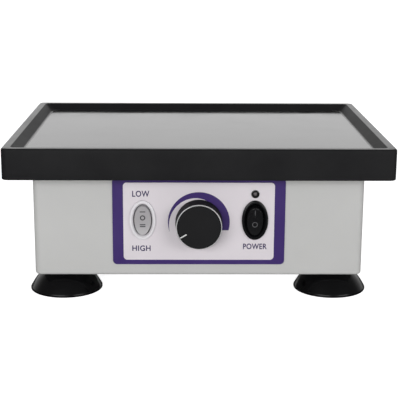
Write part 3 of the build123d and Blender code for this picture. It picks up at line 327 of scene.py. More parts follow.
finishes = {
    "housing_paint": finish("housing_paint", (0.60, 0.60, 0.59), 0.42, relief=1500, depth=0.008,
                            tone=0.012, spread=0.04, coat=0.15),
    "panel_purple": finish("panel_purple", (0.052, 0.024, 0.166), 0.34, relief=2600, depth=0.003,
                           tone=0.04, spread=0.05),
    "panel_label_film": finish("panel_label_film", (0.80, 0.75, 0.79), 0.34, relief=6500,
                               depth=0.004, tone=0.012, spread=0.05),
    "panel_print": finish("panel_print", (0.028, 0.014, 0.10), 0.4, relief=6500, depth=0.003),
    "plate_steel": finish("plate_steel", (0.05, 0.05, 0.055), 0.45, relief=1800, depth=0.01),
    "screw_steel": finish("screw_steel", (0.58, 0.58, 0.57), 0.32, **steel),
    "dark_screw": finish("dark_screw", (0.035, 0.033, 0.032), 0.42, relief=3500, depth=0.01),
    "buffer_rubber": finish("buffer_rubber", (0.022, 0.022, 0.022), 0.55, relief=2400, depth=0.03),
    "post_steel": finish("post_steel", (0.5, 0.5, 0.52), 0.3, **steel),
    "weight_iron": finish("weight_iron", (0.07, 0.07, 0.075), 0.6, relief=700, depth=0.12,
                          tone=0.15),
    "foot_rubber": finish("foot_rubber", (0.0025, 0.0025, 0.003), 0.2, relief=1200, depth=0.012,
                          spread=0.06, tone=0.1, specular=0.2),
    "core_steel": finish("core_steel", (0.30, 0.30, 0.33), 0.42, stretch=LAMINATED, **steel),
    "bracket_steel": finish("bracket_steel", (0.6, 0.6, 0.6), 0.35, stretch=BRUSHED, **steel),
    "armature_steel": finish("armature_steel", (0.33, 0.33, 0.35), 0.42, stretch=LAMINATED,
                             **steel),
    "spacer_aluminium": finish("spacer_aluminium", (0.75, 0.75, 0.76), 0.3, stretch=BRUSHED,
                               **steel),
    "bobbin_nylon": finish("bobbin_nylon", (0.72, 0.68, 0.56), 0.5, relief=1800, depth=0.01),
    "winding_copper": finish("winding_copper", (0.55, 0.2, 0.08), 0.28, metallic=0.9,
                             relief=1600, depth=0.09, stretch=WOUND),
    "board_green": finish("board_green", (0.015, 0.13, 0.05), 0.3, relief=900, depth=0.02),
    "component_black": finish("component_black", (0.02, 0.02, 0.02), 0.45),
    "capacitor_yellow": finish("capacitor_yellow", (0.72, 0.5, 0.05), 0.35),
    "capacitor_can": finish("capacitor_can", (0.03, 0.06, 0.22), 0.35),
    "terminal_green": finish("terminal_green", (0.03, 0.3, 0.12), 0.42),
    "sink_aluminium": finish("sink_aluminium", (0.7, 0.7, 0.72), 0.36, stretch=EXTRUDED, **steel),
    "switch_grey": finish("switch_grey", (0.86, 0.84, 0.87), 0.22, relief=2200, depth=0.003,
                          tone=0.02, spread=0.04),
    "rocker_grey": finish("rocker_grey", (0.44, 0.425, 0.44), 0.26, relief=2200, depth=0.003,
                          tone=0.02, spread=0.04),
    "switch_black": finish("switch_black", (0.005, 0.005, 0.006), 0.2, relief=2200, depth=0.003,
                           spread=0.05),
    "rocker_black": finish("rocker_black", (0.007, 0.007, 0.008), 0.24, relief=2200,
                           depth=0.003, spread=0.05),
    "mark_dark": finish("mark_dark", (0.035, 0.035, 0.04), 0.4, relief=5000, depth=0.002),
    "mark_pale": finish("mark_pale", (0.095, 0.095, 0.10), 0.4, relief=5000, depth=0.002),
    "tag_brass": finish("tag_brass", (0.72, 0.6, 0.34), 0.34, **steel),
    "knob_black": finish("knob_black", (0.017, 0.017, 0.018), 0.55, specular=0.05,
                         spread=0.04, depth=0.006, turned=(knob_centre, 5200.0)),
    "knob_polished": finish("knob_polished", (1.0, 1.0, 1.0), 0.34, metallic=0.5,
                            depth=0.001, spread=0.04, turned=(knob_centre, 9000.0)),
    "knob_white": finish("knob_white", (0.75, 0.75, 0.74), 0.4, relief=5000, depth=0.003),
    "knob_inner": finish("knob_inner", (0.03, 0.03, 0.03), 0.5),
    "shaft_steel": finish("shaft_steel", (0.6, 0.6, 0.62), 0.25, **steel),
    "bush_brass": finish("bush_brass", (0.72, 0.55, 0.26), 0.28, **steel),
    "can_plated": finish("can_plated", (0.55, 0.55, 0.57), 0.3, **steel),
    "lamp_black": finish("lamp_black", (0.012, 0.012, 0.012), 0.22, depth=0.002),
    "lamp_lens": finish("lamp_lens", (0.16, 0.14, 0.15), 0.22, depth=0.002, coat=0.5),
    "inlet_black": finish("inlet_black", (0.016, 0.016, 0.017), 0.4, relief=2600, depth=0.012),
}
print("finishes:", len(finishes))

# %% [markdown]
# The fuse is the one see-through part: a glass tube with plated caps. The common finish, let
# through most of its light, is enough for a part this small.

# %% Glass of the fuse
CLEAR = 0.85            # share of the light that passes

fuse_glass = finish("fuse_glass", (0.86, 0.9, 0.9), 0.06, depth=0.001, spread=0.03)
fuse_glass.node_tree.nodes["Principled BSDF"].inputs["Transmission Weight"].default_value = CLEAR
finishes["fuse_glass"] = fuse_glass

# %% [markdown]
# Every carried-over part is dressed by the slot that its record names, so a part that is added
# later with one of these slots gets its finish with no change here. Only the tray cover waits: its
# finish is made further down, with its new skin.

# %% Dress the carried-over parts
slot_of = {entry["node"]: entry["material_slot"] for entry in frame["record"]["subparts"]}
dressed = [node for node in frame["nodes"] if slot_of[node] in finishes]
for node in dressed:
    materials = frame["nodes"][node].data.materials
    materials.clear()
    materials.append(finishes[slot_of[node]])
print("dressed:", len(dressed), "of", len(frame["nodes"]), "parts")

# %% [markdown]
# ## The rubber tray
# The tray is moulded in one piece and pulled over the plate like a lid. Its floor is polished and
# swells very slightly in the middle, the skirt is matt, and every edge is soft. The profile runs
# from the middle of the floor over the rim, down the skirt, round the hem and back under the
# floor. Carried round a rounded rectangle it closes into one skin. Extruding a box and bevelling
# it would be quicker, but wouldn't give the swelling floor its clean reflections.

# %% Rounded rectangles
def rounded_rectangle(length, width, radius, side=14, corner=9):
    """Points round a rectangle with quarter-circle corners: the same count on every call, so that
    rings of different size join up. A side's points crowd towards the corners (cosine spacing)."""
    turn = np.radians(np.linspace(0, 90, corner))
    bow = np.stack([np.cos(turn), np.sin(turn)], -1) * radius
    middle = np.array([length / 2 - radius, width / 2 - radius])
    quarter = np.array([[0.0, -1.0], [1.0, 0.0]])
    spin = np.eye(2)
    corners = []
    for sign in ((1, 1), (-1, 1), (-1, -1), (1, -1)):
        corners.append(bow @ spin.T + middle * sign)
        spin = quarter @ spin
    ease = (1 - np.cos(np.linspace(0, np.pi, side + 2)[1:-1])) / 2
    path = []
    for here, there in zip(corners, corners[1:] + corners[:1]):
        path += [here, here[-1] + ease[:, None] * (there[0] - here[-1])]
    return np.concatenate(path)


# %% [markdown]
# The plate and the tray's own box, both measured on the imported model, give the outer sizes, so the
# skin still fits if they change. The rubber's thickness, the roundings, the slope and the swell are
# set here.

# %% Tray surface
tray_low, tray_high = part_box("tray_cover")
plate_low, plate_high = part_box("table_plate")
tray_length = (tray_high.x - tray_low.x) / MM
tray_width = (tray_high.y - tray_low.y) / MM
rim_z = tray_high.z / MM
hem_z = tray_low.z / MM
plate_top_z = plate_high.z / MM
TRAY_FLOOR = 2.8        # rubber over the plate
RIM_WIDTH = 5.7
CORNER = 5.0            # corner radius, seen from above, of the skirt
RIM_CORNER = 3.0        # of the rim's inner edge
EDGE = 1.5              # outer rounding of the rim
LIP = 1.3               # inner rounding of the rim
DISH_RUN = 6.0          # the inside of the rim slopes down to the floor over this distance
COVE = 2.0              # hollow where the slope meets the floor
FLOOR_CORNER = 5.5      # corner radius of the floor's edge
HEM = 0.7               # rounding of the skirt's lower edge
PLATE_GAP = 0.2         # between the skirt and the plate's edge
SKIRT_STEPS = (0.6, 0.25)          # heights of the rings down the skirt, as shares
FLOOR_STEPS = (0.06, 0.2, 0.35, 0.5, 0.62, 0.72, 0.80, 0.86, 0.905, 0.94, 0.965, 0.985)
UNDER_STEPS = (0.9, 0.5, 0.1)
SWELL = 0.22            # rise of the floor towards its middle
floor_z = plate_top_z + TRAY_FLOOR
skirt = (tray_length - (plate_high.x - plate_low.x) / MM) / 2 - PLATE_GAP


def tray_profile():
    """(inset, height) pairs from the floor's edge up the slope, over the rim, down the skirt and
    up its inside to the underside of the floor. Straight runs meet in tangent arcs: where a slope
    turns by an angle a, an arc of radius r starts r * tan(a / 2) from the corner."""
    slope = np.degrees(np.arctan2(DISH_RUN, rim_z - floor_z))
    reach = tan(radians(90 - slope) / 2)
    foot = RIM_WIDTH + DISH_RUN + COVE * reach
    outside = [(0.0, hem_z + share * (rim_z - hem_z)) for share in SKIRT_STEPS]
    return np.concatenate([
        arc((foot, floor_z + COVE), COVE, 270, 180 + slope, 6),
        arc((RIM_WIDTH - LIP * reach, rim_z - LIP), LIP, slope, 90, 6),
        arc((EDGE, rim_z - EDGE), EDGE, 90, 180, 8),
        outside,
        arc((HEM, hem_z + HEM), HEM, 180, 270, 5),
        arc((skirt - HEM, hem_z + HEM), HEM, 270, 360, 5),
        [(skirt, plate_top_z - 1.0), (skirt, plate_top_z)],
    ])


def tray_ring(inset, height):
    """One ring of the tray: the outline drawn in by inset, at one height. The corner radius grows
    down the slope, from that of the rim to that of the floor."""
    down = min(max((inset - RIM_WIDTH) / DISH_RUN, 0), 1)
    if inset < EDGE:
        radius = CORNER - inset
    else:
        radius = RIM_CORNER + (FLOOR_CORNER - RIM_CORNER) * down
    outline = rounded_rectangle(tray_length - 2 * inset, tray_width - 2 * inset, radius)
    return np.column_stack([outline, np.full(len(outline), height)])


def tray_rings():
    """Rings of the whole skin, and its two poles. Inside the floor's edge a ring is the edge
    scaled towards the middle by t, raised by SWELL * (1 - t**6); the underside is flat."""
    profile = tray_profile()
    side = [tray_ring(inset, height) for inset, height in profile]
    edge, under = side[0], side[-1]
    floor = []
    for share in FLOOR_STEPS:
        ring = edge * [share, share, 1]
        ring[:, 2] += SWELL * (1 - share**6)
        floor.append(ring)
    below = [under * [share, share, 1] for share in UNDER_STEPS]
    return np.array(floor + side + below), (0, 0, floor_z + SWELL), (0, 0, plate_top_z)


rings, top_pole, under_pole = tray_rings()
tray_mesh = skin("tray_rubber", rings * MM, (np.array(top_pole) * MM, np.array(under_pole) * MM))
print("tray:", len(tray_mesh.vertices), "points,", round(tray_length), "x", round(tray_width), "mm")

# %% [markdown]
# The floor is polished, the rim's top is part worn and the slope and skirt are matt. The share of
# polish is stored on the mesh as an attribute, and the material turns it into roughness and gloss.
# Separate materials would leave hard lines between the areas.

# %% Polished floor, matt skirt
POLISH_CORNER = 12.0    # corner radius of the polished area
POLISH_FADE = 1.5       # it fades out over this distance
RIM_POLISH = 0.5
NEAR = 0.1              # a point this little below a level still counts as on it
MATT_ROUGHNESS, POLISHED_ROUGHNESS = 0.48, 0.11
MATT_GLOSS, POLISHED_GLOSS = 0.06, 0.50
RIPPLE_SCALE = 9.0      # waves per metre of the long shallow ripple
RIPPLE_HEIGHT = 3.0     # against the grain's 1

spots = np.empty(len(tray_mesh.vertices) * 3)
tray_mesh.vertices.foreach_get("co", spots)
spots = spots.reshape(-1, 3) / MM
inset = np.minimum(tray_length / 2 - np.abs(spots[:, 0]), tray_width / 2 - np.abs(spots[:, 1]))
polish = np.where(spots[:, 2] > rim_z - NEAR, RIM_POLISH, 0.0)
on_floor = (inset > RIM_WIDTH + DISH_RUN) & (spots[:, 2] > floor_z - NEAR)
half_floor = np.array([tray_length, tray_width]) / 2 - RIM_WIDTH - DISH_RUN
into_corner = np.maximum(np.abs(spots[:, :2]) - half_floor + POLISH_CORNER, 0)
from_edge = POLISH_CORNER - np.hypot(into_corner[:, 0], into_corner[:, 1])
polish = np.where(on_floor, np.clip(from_edge / POLISH_FADE, 0, 1), polish)
polish_layer = tray_mesh.attributes.new("polish", "FLOAT", "POINT")
polish_layer.data.foreach_set("value", polish)
print("points on the polished floor:", int((polish > RIM_POLISH).sum()))


def rubber_finish():
    """Black rubber whose roughness runs from matt to polished with the polish attribute, with a
    moulded grain that fades out where it is polished and a long shallow ripple in the sheet."""
    material = bpy.data.materials.new("tray_rubber")
    material.use_nodes = True
    tree = material.node_tree
    shader = tree.nodes["Principled BSDF"]
    shader.inputs["IOR"].default_value = 1.62
    place = tree.nodes.new("ShaderNodeTexCoord").outputs["Object"]
    shine = tree.nodes.new("ShaderNodeAttribute")
    shine.attribute_name = "polish"
    handled = tree.nodes.new("ShaderNodeGroup")
    handled.node_tree = HANDLING
    handled.inputs["Low"].default_value = -0.02
    handled.inputs["High"].default_value = 0.03
    tree.links.new(place, handled.inputs["Vector"])
    polish = shine.outputs["Fac"]
    smoother = POLISHED_ROUGHNESS - MATT_ROUGHNESS
    even = math_node(tree, "MULTIPLY_ADD", polish, smoother, MATT_ROUGHNESS)
    gloss = math_node(tree, "MULTIPLY_ADD", polish, POLISHED_GLOSS - MATT_GLOSS, MATT_GLOSS)
    tree.links.new(gloss, shader.inputs["Specular IOR Level"])
    roughness = math_node(tree, "ADD", even, handled.outputs["Value"])
    tree.links.new(roughness, shader.inputs["Roughness"])
    tone = tree.nodes.new("ShaderNodeMix")
    tone.data_type = "RGBA"
    tone.inputs["A"].default_value = (0.0145, 0.0145, 0.0155, 1)
    tone.inputs["B"].default_value = (0.0185, 0.0185, 0.0195, 1)
    tree.links.new(handled.outputs["Mask"], tone.inputs["Factor"])
    tree.links.new(tone.outputs["Result"], shader.inputs["Base Color"])
    grain = tree.nodes.new("ShaderNodeGroup")
    grain.node_tree = SKIN_GRAIN
    grain.inputs["Scale"].default_value = 2600
    tree.links.new(place, grain.inputs["Vector"])
    matt = math_node(tree, "SUBTRACT", 1.0, polish)
    ripple = noise_node(tree, place, RIPPLE_SCALE, detail=1.0)
    small = math_node(tree, "MULTIPLY", grain.outputs["Height"], matt)
    height = math_node(tree, "MULTIPLY_ADD", ripple, RIPPLE_HEIGHT, small)
    bump = tree.nodes.new("ShaderNodeBump")
    bump.inputs["Distance"].default_value = 0.02 * MM
    tree.links.new(height, bump.inputs["Height"])
    tree.links.new(bump.outputs["Normal"], shader.inputs["Normal"])
    return material


finishes["tray_rubber"] = rubber_finish()
tray_mesh.materials.append(finishes["tray_rubber"])
add_piece("tray_rubber", tray_mesh, "tray", "tray_rubber", ["tray_cover"])

# %% [markdown]
# ## Suction feet
# Each foot is a moulded cup: a thin flexible rim, a side that bows outwards, and a neck under the
# box. It is a lathe shape, so one profile turned about an upright axis makes it.

# %% Lathe shapes
def lathe(name, profile, centre, around=128):
    """Turn (radius, height) pairs about an upright axis: x = r cos a, y = r sin a, z = height.
    A profile that starts or ends at radius 0 closes in a pole there."""
    profile = np.asarray(profile, float)
    starts, ends = profile[0, 0] == 0, profile[-1, 0] == 0
    open_part = profile[int(starts): len(profile) - int(ends)]
    angles = np.linspace(0, 2 * np.pi, around, endpoint=False)
    unit = np.stack([np.cos(angles), np.sin(angles)], -1)
    rings = np.concatenate(
        [open_part[:, 0, None, None] * unit, np.repeat(open_part[:, 1, None, None], around, 1)], -1
    )
    rings = rings + [centre[0], centre[1], 0]
    poles = [
        np.array([centre[0], centre[1], row[1]]) if closed else None
        for closed, row in ((starts, profile[0]), (ends, profile[-1]))
    ]
    return skin(name, rings * MM, [pole if pole is None else pole * MM for pole in poles])


CUP_NECK = 12.0
CUP_EDGE = 0.75         # rounding of the rim
CUP_SKIRT = 1.425       # height where the side meets the rim
CUP_BOW = 1.33          # the side bows this far out and up
CUP_LIP = 2.2           # width of the ring that touches the bench
CUP_HOLLOW = 5.0        # height of the hollow underneath


def cup_profile(rim, height):
    """Suction cup from the middle of its top: neck, bowed side, rolled rim, hollow underside.
    The side is a straight run plus a sine bow, fullest just above its middle, and the hollow falls
    away as a cosine, a little fuller."""
    run = np.linspace(0, 1, 22)
    out = CUP_NECK + (rim - CUP_NECK) * run
    side = np.stack([out, height - (height - CUP_SKIRT) * run], -1)
    side = side + CUP_BOW * np.sin(np.pi * run**0.9)[:, None]
    side = side[side[:, 1] <= height]
    lip = arc((rim - CUP_EDGE, CUP_EDGE), CUP_EDGE, 20, -90, 8)
    share = np.linspace(1, 0, 16)
    hollow = CUP_HOLLOW * np.cos(share * np.pi / 2) ** 0.9
    under = np.stack([(rim - CUP_LIP) * share, hollow], -1)
    top = [(0.0, height), (CUP_NECK * 0.6, height)]
    return np.concatenate([top, side, lip, under])


feet = [node for node in frame["nodes"] if node.startswith("suction_foot")]
for node in feet:
    low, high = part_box(node)
    middle = (low + high) / 2 / MM
    rim_radius = (high.x - low.x) / 2 / MM
    profile = cup_profile(rim_radius, high.z / MM)
    cup = lathe(node + "_cup", profile, (middle.x, middle.y))
    cup.materials.append(finishes["foot_rubber"])
    add_piece(node + "_cup", cup, "base", "foot_rubber", [node])
print("feet:", len(feet), "cups, rim radius", round(rim_radius, 1), "mm")

# %% [markdown]
# ## Rocker paddles
# A rocker is an oval of moulded plastic, dished across its face and rounded at its edge, that
# tips on a trunnion. It is made level and then turned about its joint to where it rests, so the
# same function makes both: the one with three places rests level, the other rests switched off.

# %% Paddle surface
ROCKER_WIDTH = 12.6
ROCKER_HEIGHT = 21.8
ROCKER_PROUD = 5.4      # from the trunnion to a tip of the face
ROCKER_VALLEY = 1.7     # depth of the dish
ROCKER_BACK = 3.0       # from the trunnion to the back
ROCKER_DRAFT = 6.0      # degrees
ROCKER_ROUND = 0.7


def face_height(z):
    """Height of the dished face over the trunnion: an arc that is lowest across the middle."""
    half = ROCKER_HEIGHT / 2
    bend = (half**2 + ROCKER_VALLEY**2) / (2 * ROCKER_VALLEY)
    return ROCKER_PROUD - ROCKER_VALLEY + bend - np.sqrt(bend**2 - z**2)


def paddle_rings(around=96):
    """Ovals from the middle of the face outwards, over a rounded edge, down the drafted side."""
    angles = np.linspace(0, 2 * np.pi, around, endpoint=False)
    across, along = np.cos(angles), np.sin(angles)
    draft = tan(radians(ROCKER_DRAFT))
    edge_inset = (ROCKER_PROUD - ROCKER_ROUND) * draft
    rings = []
    for share in (0.15, 0.35, 0.55, 0.72, 0.85, 0.94):
        x = (ROCKER_WIDTH / 2 - edge_inset - ROCKER_ROUND) * share * across
        z = (ROCKER_HEIGHT / 2 - edge_inset - ROCKER_ROUND) * share * along
        rings.append(np.stack([x, face_height(z), z], -1))
    for turn in np.radians(np.linspace(90, 6, 7)):
        inset = edge_inset + ROCKER_ROUND * (1 - cos(turn))
        x = (ROCKER_WIDTH / 2 - inset) * across
        z = (ROCKER_HEIGHT / 2 - inset) * along
        rings.append(np.stack([x, face_height(z) - ROCKER_ROUND * (1 - sin(turn)), z], -1))
    for depth in (0.0, -ROCKER_BACK):
        inset = abs(depth) * draft
        x = (ROCKER_WIDTH / 2 - inset) * across
        z = (ROCKER_HEIGHT / 2 - inset) * along
        rings.append(np.stack([x, np.full(around, depth), z], -1))
    return np.array(rings)


def place_on_rocker(points, joint):
    """Points given as (x, height, z) about the trunnion, moved to the joint and turned from level
    to where the rocker rests: back by the middle of the joint's range, about its axis."""
    level = radians(sum(joint["range_deg"]) / 2)
    turn = np.array(Matrix.Rotation(-level, 3, Vector(joint["axis"])))
    points = np.asarray(points, float) * [1, -1, 1]
    return points @ turn.T * MM + np.array(joint["pos_m"])


joints = {joint["name"]: joint for joint in frame["joints"]}
paddles = {
    "mode_rocker": (joints["mode_rocker_tilt"], "mode_paddle", "rocker_grey"),
    "power_rocker": (joints["power_rocker_tilt"], "power_paddle", "rocker_black"),
}
for node, (joint, body, slot) in paddles.items():
    poles = [(0, face_height(0.0), 0), (0, -ROCKER_BACK, 0)]
    poles = [place_on_rocker(pole, joint) for pole in poles]
    paddle = skin(node + "_paddle", place_on_rocker(paddle_rings(), joint), poles)
    paddle.materials.append(finishes[slot])
    add_piece(node + "_paddle", paddle, body, slot, [node])
print("paddles:", list(paddles))

# %% [markdown]
# ## Printed marks
# The marks on the rockers, the growing scale round the knob and the words are thin layers of ink.
# Each is a strip between two edge lines, a few hundredths of a millimetre thick, laid on whatever
# surface carries it. A strip with real thickness keeps its place in every export, which a painted
# texture would not.

# %% Strips of ink
INK = 0.05              # thickness, mm


def strip(name, inner, outer, place, closed=False):
    """Closed slab between two edge lines, arrays of (x, z). place(x, z, rise) gives 3-D points.
    Every station is a ring of four corners; the two ends are capped unless the strip closes."""
    corners = [place(inner, INK), place(outer, INK), place(outer, -INK), place(inner, -INK)]
    rings = np.stack(corners, axis=1)
    if closed:
        return skin(name, rings, around_again=True)
    return skin(name, rings, (rings[0].mean(axis=0), rings[-1].mean(axis=0)))


def bar(centre, length, width, steps=2):
    """Edge lines of a straight bar along X."""
    x = np.linspace(-length / 2, length / 2, steps) + centre[0]
    low = np.stack([x, np.full(steps, centre[1] - width / 2)], -1)
    return low, low + [0, width]


def upright(centre, length, width, steps=8):
    """Edge lines of a straight bar along Z."""
    z = np.linspace(-length / 2, length / 2, steps) + centre[1]
    left = np.stack([np.full(steps, centre[0] - width / 2), z], -1)
    return left, left + [width, 0]


def hoop(centre, radius, width, steps=40):
    """Edge lines of a ring."""
    angles = np.linspace(0, 2 * np.pi, steps, endpoint=False)
    unit = np.stack([np.cos(angles), np.sin(angles)], -1)
    return centre + unit * (radius - width / 2), centre + unit * (radius + width / 2)


def on_rocker(joint):
    """Placer for a rocker's face."""
    def place(flat, rise):
        x, z = flat[:, 0], flat[:, 1]
        return place_on_rocker(np.stack([x, face_height(z) + rise, z], -1), joint)
    return place


rocker_marks = [
    ("mode_mark_dash", "mode_rocker", bar((0, 6.3), 3.9, 0.7), False, "mark_dark"),
    ("mode_mark_ring", "mode_rocker", hoop((0, 1.9), 1.5, 0.75), True, "mark_dark"),
    ("mode_mark_upper_bar", "mode_rocker", bar((0, -3.0), 3.9, 0.7), False, "mark_dark"),
    ("mode_mark_lower_bar", "mode_rocker", bar((0, -4.3), 3.9, 0.7), False, "mark_dark"),
    ("power_mark_line", "power_rocker", upright((0, 6.7), 4.2, 0.6), False, "mark_pale"),
    ("power_mark_ring", "power_rocker", hoop((0, -2.4), 1.7, 0.6), True, "mark_pale"),
]
for name, node, (inner, outer), closed, slot in rocker_marks:
    joint, body, rocker_slot = paddles[node]
    mark = strip(name, inner, outer, on_rocker(joint), closed)
    mark.materials.append(finishes[slot])
    add_piece(name, mark, body, rocker_slot)
print("marks on the rockers:", len(rocker_marks))

# %% [markdown]
# The scale round the knob is a crescent: its outer edge is a true circle and its inner edge moves
# steadily inwards, so it starts as a point at the slow end and is widest at the fast end, where
# it is cut off level.

# %% Growing scale
label_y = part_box("panel_label")[0].y
SCALE_RADIUS = 21.5
SCALE_WIDEST = 9.0
SCALE_TIP = 0.12        # width at the slow end
SCALE_POINTS = 90
SCALE_START = 198.0     # degrees anticlockwise from the right
SCALE_END = -15.5


def on_label(flat, rise):
    """Placer for the flat front label."""
    return np.stack([flat[:, 0] * MM, np.full(len(flat), label_y - rise * MM), flat[:, 1] * MM], -1)


def growing_edge(radius, last):
    """One edge of the crescent: angles run evenly from SCALE_START to last, radius is per point."""
    angles = np.radians(np.linspace(SCALE_START, last, len(radius)))
    unit = np.stack([np.cos(angles), np.sin(angles)], -1)
    return np.array([knob_centre.x, knob_centre.z]) / MM + unit * radius[:, None]


inner_radius = SCALE_RADIUS - SCALE_TIP - SCALE_WIDEST * np.linspace(0, 1, SCALE_POINTS)
level_end = np.degrees(np.arcsin(SCALE_RADIUS * sin(radians(SCALE_END)) / inner_radius[-1]))
outer = growing_edge(np.full(SCALE_POINTS, SCALE_RADIUS), SCALE_END)
inner = growing_edge(inner_radius, level_end)
scale_mesh = strip("speed_scale", inner, outer, on_label)
scale_mesh.materials.append(finishes["panel_purple"])
add_piece("speed_scale", scale_mesh, "base", "panel_purple")
print("scale ends at", round(level_end, 1), "degrees inside and", SCALE_END, "outside")

# %% [markdown]
# The words are the plain ones that such a panel needs. Blender's own letter shapes are turned
# into a mesh first, sized by their measured height, and then laid on the label.

# %% Words
LETTER_WEIGHT = 0.02    # thickens the strokes
LETTER_SPACING = 1.08


def word(name, text, centre, cap, width):
    """Letters of one word as a thin slab, cap mm tall and width mm wide, centred at (x, z)."""
    curve = bpy.data.curves.new(name, "FONT")
    curve.body = text
    curve.extrude = INK * MM
    curve.resolution_u = 6
    curve.offset = LETTER_WEIGHT
    curve.space_character = LETTER_SPACING
    source = bpy.data.objects.new(name, curve)
    mesh = bpy.data.meshes.new_from_object(source)
    bpy.data.objects.remove(source)
    flat = np.empty(len(mesh.vertices) * 3)
    mesh.vertices.foreach_get("co", flat)
    flat = flat.reshape(-1, 3)
    low, high = flat[:, :2].min(axis=0), flat[:, :2].max(axis=0)
    scale = np.array([width, cap]) / (high - low)
    xz = (flat[:, :2] - (low + high) / 2) * scale + centre
    rise = np.sign(flat[:, 2]) * INK
    placed = np.stack([xz[:, 0] * MM, label_y - rise * MM, xz[:, 1] * MM], -1)
    mesh.vertices.foreach_set("co", placed.ravel())
    mesh.update()
    mesh.name = name
    return mesh


# name, text, place on the label, height of a capital, width
words = [
    ("word_low", "LOW", (-40.2, 74.3), 4.3, 11.9),
    ("word_high", "HIGH", (-40.0, 35.2), 4.0, 12.8),
    ("word_power", "POWER", (39.3, 36.6), 4.1, 16.6),
]
for name, text, centre, cap, width in words:
    letters = word(name, text, centre, cap, width)
    letters.materials.append(finishes["panel_print"])
    add_piece(name, letters, "base", "panel_label_film")
print("words:", [text for _, text, *_ in words])

# %% [markdown]
# ## Stage, light and camera
# The machine stands on a white floor. A white floor would shine in every upright face, so it is
# white for the camera and for diffuse light and grey for reflection rays. Painting the reflections
# in would only work from one side.

# %% Floor
FLOOR_SIZE = 30.0       # metres
FLOOR_WHITE, FLOOR_GREY = (0.9, 0.9, 0.9, 1), (0.2, 0.2, 0.2, 1)
FLOOR_GLOW = 0.9

signs = [(-1, -1), (1, -1), (1, 1), (-1, 1)]
corners = [(x * FLOOR_SIZE / 2, y * FLOOR_SIZE / 2, 0) for x, y in signs]
floor_mesh = bpy.data.meshes.new("floor")
floor_mesh.from_pydata(corners, [], [(0, 1, 2, 3)])
floor = bpy.data.objects.new("floor", floor_mesh)
bpy.context.scene.collection.objects.link(floor)


def floor_finish():
    """Matt white, with light of its own for camera rays; dark grey in every reflection."""
    material = bpy.data.materials.new("floor_paint")
    material.use_nodes = True
    tree = material.node_tree
    shader = tree.nodes["Principled BSDF"]
    shader.inputs["Roughness"].default_value = 0.8
    shader.inputs["Specular IOR Level"].default_value = 0.0
    path = tree.nodes.new("ShaderNodeLightPath")
    tone = tree.nodes.new("ShaderNodeMix")
    tone.data_type = "RGBA"
    tone.inputs["A"].default_value = FLOOR_WHITE
    tone.inputs["B"].default_value = FLOOR_GREY
    tree.links.new(path.outputs["Is Glossy Ray"], tone.inputs["Factor"])
    tree.links.new(tone.outputs["Result"], shader.inputs["Base Color"])
    shader.inputs["Emission Color"].default_value = (1, 1, 1, 1)
    glow = math_node(tree, "MULTIPLY", path.outputs["Is Camera Ray"], FLOOR_GLOW)
    tree.links.new(glow, shader.inputs["Emission Strength"])
    return material


floor_mesh.materials.append(floor_finish())
print("floor:", FLOOR_SIZE, "m square")

# %% [markdown]
# A low bright band behind the machine gives the polished rubber something to reflect, while a dim
# sky above and in front keeps slopes and skirt black. Two soft boxes in front light the housing.
# A picture of a real studio would do the same, but these few numbers are easier to change.

# %% Sky and lamps
SKY_GLOW = 0.24
BAND_GLOW = 0.87
BAND_SIDES = (0.1, 0.85)     # how far behind, as the Y of the direction, it fades in
BAND_TOP = (0.32, 0.62)      # how high, as the Z of the direction, it fades out
AIM = (0, 0, 0.05)


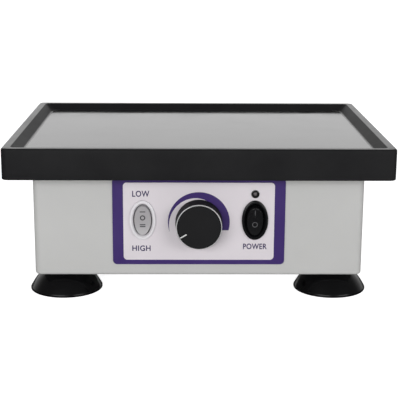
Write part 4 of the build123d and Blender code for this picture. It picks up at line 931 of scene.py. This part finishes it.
def sky():
    """World brightness by direction: an even dim sky, plus a bright band low down behind."""
    world = bpy.data.worlds.new("studio")
    bpy.context.scene.world = world
    world.use_nodes = True
    tree = world.node_tree
    split = tree.nodes.new("ShaderNodeSeparateXYZ")
    direction = tree.nodes.new("ShaderNodeTexCoord").outputs["Generated"]
    tree.links.new(direction, split.inputs[0])
    behind = tree.nodes.new("ShaderNodeMapRange")
    behind.interpolation_type = "SMOOTHSTEP"
    behind.inputs["From Min"].default_value = BAND_SIDES[0]
    behind.inputs["From Max"].default_value = BAND_SIDES[1]
    tree.links.new(split.outputs["Y"], behind.inputs["Value"])
    low = tree.nodes.new("ShaderNodeMapRange")
    low.interpolation_type = "SMOOTHSTEP"
    low.inputs["From Min"].default_value = BAND_TOP[0]
    low.inputs["From Max"].default_value = BAND_TOP[1]
    low.inputs["To Min"].default_value = 1.0
    low.inputs["To Max"].default_value = 0.0
    tree.links.new(split.outputs["Z"], low.inputs["Value"])
    band = math_node(tree, "MULTIPLY", behind.outputs["Result"], low.outputs["Result"])
    total = math_node(tree, "MULTIPLY_ADD", band, BAND_GLOW, SKY_GLOW)
    background = tree.nodes["Background"]
    background.inputs["Color"].default_value = (1.0, 1.0, 1.0, 1)
    tree.links.new(total, background.inputs["Strength"])


def lamp(name, position, size, power):
    """Oblong soft box at a position, facing the machine."""
    light = bpy.data.lights.new(name, "AREA")
    light.shape = "RECTANGLE"
    light.size, light.size_y = size
    light.energy = power
    fitting = bpy.data.objects.new(name, light)
    bpy.context.scene.collection.objects.link(fitting)
    fitting.location = position
    fitting.rotation_euler = (Vector(AIM) - Vector(position)).to_track_quat("-Z", "Y").to_euler()


sky()
lamp("key", position=(-0.7, -1.8, 0.5), size=(1.3, 0.7), power=16)
lamp("fill", position=(1.15, -1.35, 0.45), size=(1.0, 0.6), power=8)
print("sky", SKY_GLOW, "band", BAND_GLOW)

# %% [markdown]
# The camera stands in front, a little to the left, and looks down at the tray's floor. Its place
# is given by three angles and a point, and the matrix is built from them: forward, right and up.
# Aiming it at an empty object would work too, but wouldn't give the slight roll.

# %% Camera
LENS = 96.1             # mm, on a sensor 36 mm wide
SENSOR = 36
STAND = Vector((-0.0101, -0.8030, 0.2469))    # where it stands, metres
PITCH, YAW, ROLL = radians(13.859), radians(0.865), radians(0.303)
forward = Vector((sin(YAW) * cos(PITCH), cos(YAW) * cos(PITCH), -sin(PITCH)))
level_right = Vector((cos(YAW), -sin(YAW), 0))
level_up = level_right.cross(forward)
right = level_right * cos(ROLL) + level_up * sin(ROLL)
up = right.cross(forward)
camera_data = bpy.data.cameras.new("camera")
camera_data.lens = LENS
camera_data.sensor_width = SENSOR
camera = bpy.data.objects.new("camera", camera_data)
bpy.context.scene.collection.objects.link(camera)
camera.matrix_world = Matrix((
    (right.x, up.x, -forward.x, STAND.x),
    (right.y, up.y, -forward.y, STAND.y),
    (right.z, up.z, -forward.z, STAND.z),
    (0, 0, 0, 1),
))
bpy.context.scene.camera = camera
bpy.context.scene.view_settings.view_transform = "Standard"
print("camera:", [round(value, 3) for value in STAND], "lens", LENS, "mm")
